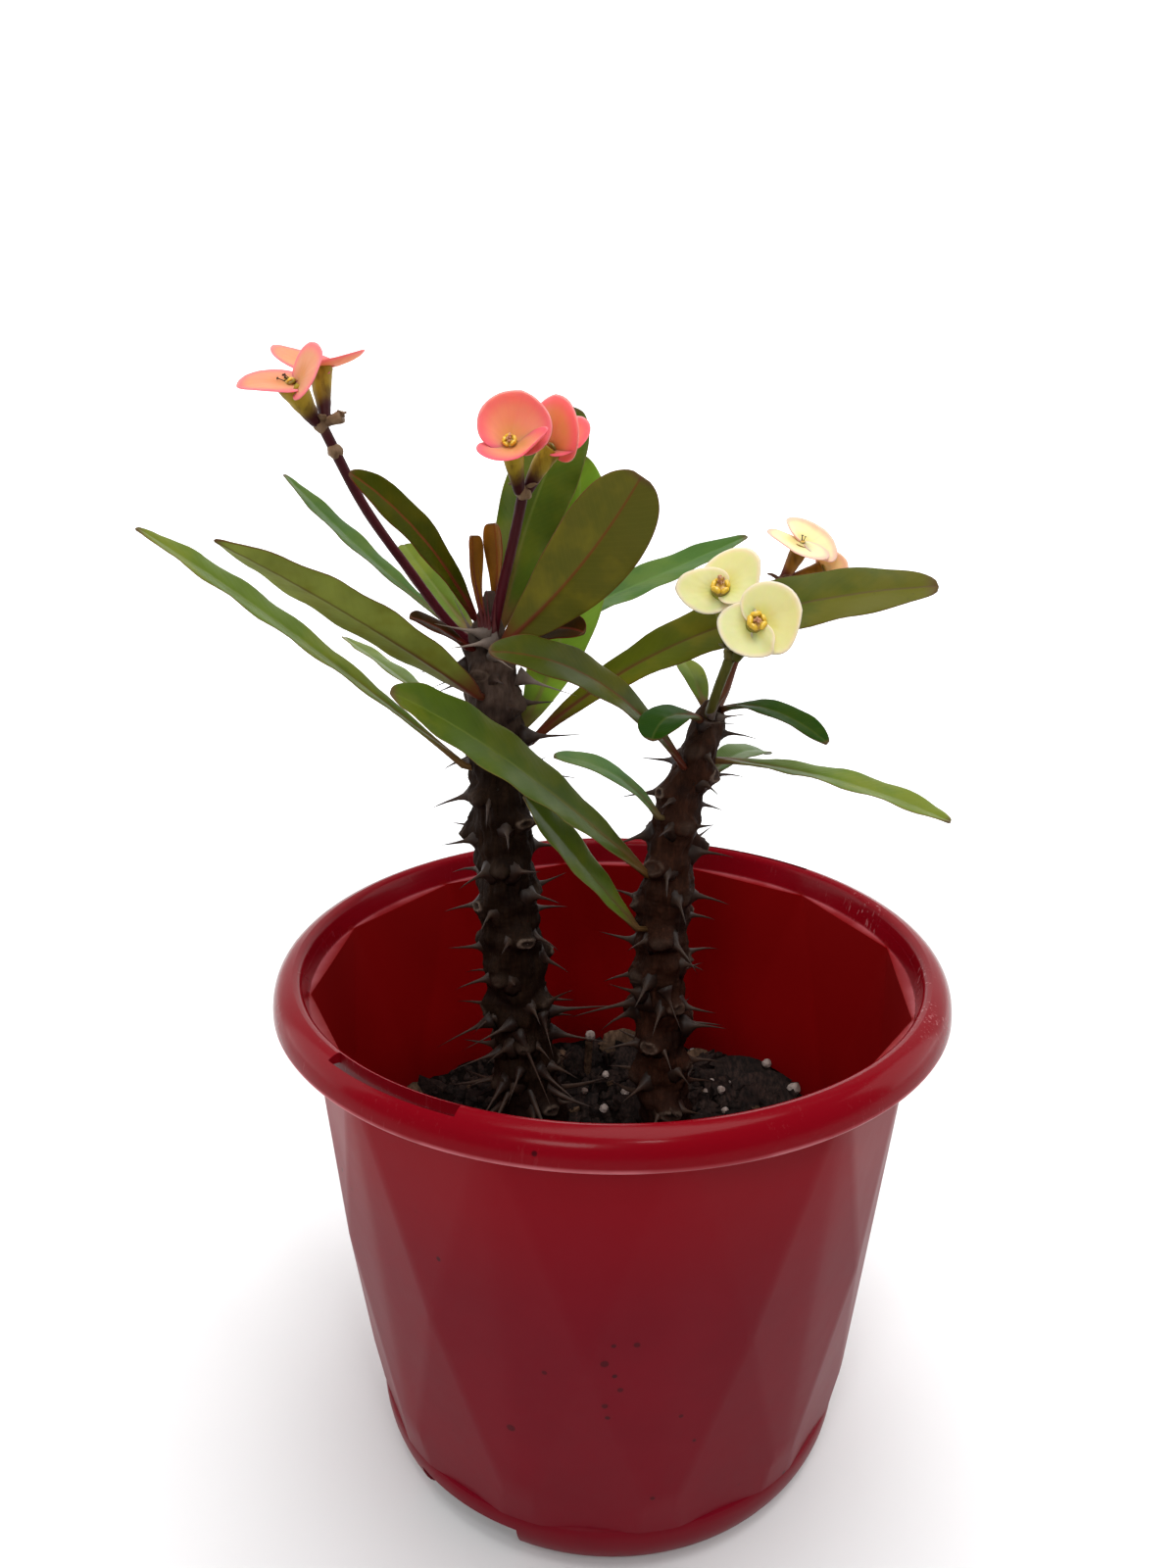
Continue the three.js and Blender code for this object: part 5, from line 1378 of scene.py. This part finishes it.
def makeCups():
    glands = kindsOf("glandKinds", [glandKind("glandKind0")])
    styles = kindsOf("styleKinds", [thornKind(f"styleKind{k}", bend, cupShape["style"])
                                    for k, bend in enumerate((0.2, -0.5))])
    crumbs = kindsOf("crumbKinds", [lump("crumbKind", 0.3, 0.8, 2, 1, 1.3)])
    amber = glandFinish("nectarGland", (0.42, 0.24, 0.02), (0.8, 0.5, 0.03))
    husk = glandFinish("cupHusk", (0.2, 0.17, 0.02), (0.66, 0.36, 0.03))
    fresh = styleFinish("styles", (0.75, 0.42, 0.16), (0.6, 0.28, 0.15))
    dried = styleFinish("driedStyles", (0.05, 0.02, 0.012), (0.016, 0.009, 0.006))
    chance, grown = random.Random(cupShape["seed"]), grownTree()
    heights, radii, marks = zip(*cupShape["line"])
    for key, spec in flowers.items():
        size, count, stamens, dry, lean = cupLook[key]
        hub, axis = Vector(spec["hub"]), Vector(spec["axis"]).normalized()
        side = axis.cross(Vector((0.3, 0, 1))).normalized()
        other = axis.cross(side)
        low = 1.0 if count else cupShape["sunk"]  # withered cups have sunk
        cup = tube("cup", [hub + axis * h * size * low for h in heights], [r * size for r in radii], marks)
        cup.data.materials.append(husk)
        spots, hairs = [], []
        for k in range(count):
            a = math.radians(360 * k / count + 20 * chance.random())
            out = side * math.cos(a) + other * math.sin(a)
            rise = cupShape["rise"][0] + cupShape["rise"][1] * chance.random()
            foot = hub + (axis * rise + out * cupShape["ring"]) * size
            width = size * chance.uniform(*cupShape["gland"])
            spots.append((foot, foot + axis * 1.35 + out * 0.6, width, 0))
        if spots:
            ring = grown.run(spotsOf(key + "Glands", spots, hub), Pieces=glands, Material=amber)
            cup = joinPieces("cup", [ring, cup])
        cup.name = cup.data.name = "nectar_cup_" + key + "_glands"
        place(cup, "nectar_gland", "nectar_cup_" + key)
        least, most, half = cupShape["dried" if dry else "fresh"]
        for k in range(stamens):
            a = chance.uniform(0, 6.283)
            out = (side * math.cos(a) + other * math.sin(a)) * chance.uniform(0.1, 1)
            foot = hub + axis * 0.9 * size + out * 0.6
            reach = chance.uniform(least, most)
            tip = foot + (axis + Vector(lean)) * reach + out * chance.uniform(0.3, 1.1)
            hairs.append((foot, tip, half, k % 2))
        if hairs:
            place(grown.run(spotsOf(key + "Styles", hairs), Pieces=styles, Material=dried if dry else fresh),
                  "nectar_gland")
    hub, lower, spots = Vector(flowers["d1"]["hub"]), flowers["d1"]["bracts"][0], []
    along = Vector(lower["tip"]).normalized()
    up = upright(lower, along)
    for _ in range(cupShape["crumbs"]):  # dried stamens that have dropped into the crease between the bracts
        c = chance.uniform(*cupShape["crease"])
        at = hub + Vector(lower["from"]) + along.cross(up) * c
        at += along * chance.uniform(0.2, 1.4) + up * (0.5 + 0.1 * abs(c) + chance.uniform(0, 0.3))
        tip = at + up * 0.5 + Vector((chance.uniform(-0.5, 0.5), 0, 0))
        spots.append((at, tip, chance.uniform(0.7, 1.5), 0))
    place(grown.run(spotsOf("creaseCrumbs", spots, hub), Pieces=crumbs, Material=dried), "nectar_gland")


def kidney(name, spec, seed):
    # a fan round the bract's root, closed by an under side that shares the points of the margin
    look = petalLook
    root, half = Vector(spec["root"]), spec["width"] / 2
    length, broad = (Vector(spec["tip"]) - root).length, half / look["squeeze"]
    fold = math.tan(math.radians(spec.get("fold", 6)))
    points, marks, index = [], [], {}
    for ring in range(look["rings"] + 1):
        share = (ring / look["rings"]) ** look["crowd"]
        for ray in range(look["rays"] + 1 if ring else 1):
            s = 2 * ray / look["rays"] - 1 if ring else 0.0
            turn = math.radians(look["sweep"] * s)
            rise, reach = look["point"]
            edge = math.cos(turn / 2) ** look["heart"] * (1 + rise * math.exp(-(turn / reach) ** 2))
            edge *= 1 + look["uneven"] * noise.noise(Vector((math.cos(turn), math.sin(turn), seed)) * 1.7)
            reach = share * edge
            x, y = reach * math.cos(turn), broad * reach * math.sin(turn)
            t = max(x, 0)
            at, along = bezier(spec, t)
            up = upright(spec, along)
            out = y / half
            lift = fold * (math.hypot(y, 0.55) - 0.55) + spec["twist"] * out * (1 - t)
            lift += spec.get("curl", 0) * out ** 2 - look["dish"] * share * (1 - share) * 2
            lift += look["wave"] * share ** 2 * noise.noise(Vector((turn * 1.1, share, seed * 3.7))) * 1.5
            lift += 0.1 * noise.noise(Vector((x * length, y, seed)) * 0.4)
            middle = at + along * (x - t) * length + along.cross(up) * y + up * lift
            margin = ring == look["rings"] or (ring and abs(s) == 1)
            thick = 0 if margin else look["thick"] * (1 - share ** 6) ** 0.5 * (1 - abs(s) ** 12) ** 0.5
            rim = (1 - share) * edge * math.hypot(length * math.cos(turn), broad * math.sin(turn))
            for side in ((0,) if margin else (1, -1)):
                index[ring, ray, side] = len(points)
                points.append(middle + up * side * thick / 2)
                marks.append((share, turn, rim, (side + 1) / 2))

    def spot(ring, ray, side):
        return index.get((ring, ray, side), index.get((ring, ray, 0)))
    faces = []
    for side in (1, -1):
        for ray in range(look["rays"]):
            faces.append((spot(0, 0, side), spot(1, ray, side), spot(1, ray + 1, side))[::-side])
            for ring in range(1, look["rings"]):
                faces.append((spot(ring, ray, side), spot(ring + 1, ray, side),
                              spot(ring + 1, ray + 1, side), spot(ring, ray + 1, side))[::-side])
    for ray, order in ((0, 1), (look["rays"], -1)):  # closes the two sides of the notch at the root
        faces.append((spot(0, 0, 1), spot(1, ray, 0), spot(0, 0, -1))[::order])
    piece = outwards(meshOf(name, points, faces))
    addAttributes(piece, **dict(zip(("along", "turn", "rim", "upper"), zip(*marks))))
    return piece


def makeFlowers():
    finishes = {tint: petalFinish(tint) for tint in petalTints}
    for k, (key, spec) in enumerate(flowers.items()):
        parts = []
        for j, petal in enumerate(spec["bracts"]):
            root = Vector(spec["hub"]) + Vector(petal["from"])
            tip = root + Vector(petal["tip"])
            shape = {"twist": spec["twist"], **petal, "root": root, "tip": tip}
            parts.append(kidney("bract", shape, 3 * k + j))
        dress(joinPieces("bracts_" + key + "_pair", parts), finishes[spec["tint"]],
              "bract_salmon" if key[0] in "ab" else "bract_cream", "bracts_" + key)


makeStems()
makeLeaves()
print("leaves done")
makePeduncles()
makeFlowers()
makeCups()
print("flowers done")


stage = {  # in metres and degrees
    "floorTone": (0.84, 0.84, 0.84), "glow": 0.62, "floorFrom": -2.6, "wallFrom": 1.1, "wallHeight": 3.4,
    "halfWidth": 3.2, "bend": 0.9, "bends": 16, "world": (0.95, 0.96, 1, 1), "strength": 0.2,
    "camera": (0.00088, -0.3259, 0.3161), "tiltDown": 17.67, "turnLeft": 1.3750987, "lens": 27.07,
    "middle": (0, 0, 0.15),
    # place, width, height and power; all but one look at the middle
    "lamps": {"ceiling": ((0.15, -0.1, 1.6), 1.0, 1.0, 17),
              "leftWindow": ((-1.2, 0.25, 0.55), 0.8, 1.1, 6.5),
              "rightWindow": ((1.25, 0.3, 0.55), 0.7, 1.1, 6.2), "backWall": ((0, 0.5, 1.7), 2.6, 0.8, 20),
              "front": ((-0.35, -1.3, 1.15), 0.5, 0.35, 7.5), "glint": ((0.25, -0.9, 1.3), 0.16, 0.16, 2)},
    "towards": {"backWall": (0, 1.9, 1.1)},
}


def makeStage():  # a pale floor that curves up into a wall behind
    start, bend, half = stage["wallFrom"], stage["bend"], stage["halfWidth"]
    turns = [math.radians(90 * k / stage["bends"]) for k in range(1, stage["bends"] + 1)]
    profile = [(stage["floorFrom"], 0), (0.2, 0), (start, 0)]
    profile += [(start + bend * math.sin(a), bend * (1 - math.cos(a))) for a in turns]
    profile.append((start + bend, stage["wallHeight"]))
    points = [(x / mm, y / mm, z / mm) for y, z in profile for x in (-half, half)]
    faces = [(2 * k, 2 * k + 1, 2 * k + 3, 2 * k + 2) for k in range(len(profile) - 1)]
    floor = meshOf("floor", points, faces)
    finish = Finish("paleFloor", Roughness=0.8, Specular_IOR_Level=0.1, Emission_Strength=1.0)
    back = finish.ramp(finish.axis(1), 0.1, 0.95)  # the wall glows a little, so it stays evenly pale
    glow = finish.blend(back, (0, 0, 0), (stage["glow"],) * 3)
    tone = finish.blend(finish.noise(3), stage["floorTone"], shade(stage["floorTone"], 0.98))
    floor.data.materials.append(finish.paint(Base_Color=tone, Emission_Color=glow))


def hold(name, data, at, turn):
    holder = bpy.data.objects.new(name, data)
    holder.location, holder.rotation_euler = at, turn
    scene.collection.objects.link(holder)
    return holder


def makeLight():
    for name, (at, width, height, power) in stage["lamps"].items():
        lamp = bpy.data.lights.new(name, "AREA")
        lamp.shape, lamp.size, lamp.size_y, lamp.energy = "RECTANGLE", width, height, power
        away = Vector(stage["towards"].get(name, stage["middle"])) - Vector(at)
        hold(name, lamp, at, away.to_track_quat("-Z", "Y").to_euler())
    scene.world = bpy.data.worlds.new("room")
    scene.world.use_nodes = True
    background = scene.world.node_tree.nodes["Background"].inputs
    background["Color"].default_value = stage["world"]
    background["Strength"].default_value = stage["strength"]
    scene.view_settings.view_transform = "Standard"


def makeCamera():
    lens = bpy.data.cameras.new("camera")
    lens.lens, lens.sensor_width, lens.clip_start, lens.clip_end = stage["lens"], 36, 0.01, 20
    scene.camera = hold("camera", lens, stage["camera"],
                        (math.radians(90 - stage["tiltDown"]), 0, math.radians(stage["turnLeft"])))


makeStage()
makeLight()
makeCamera()
print("stage set")
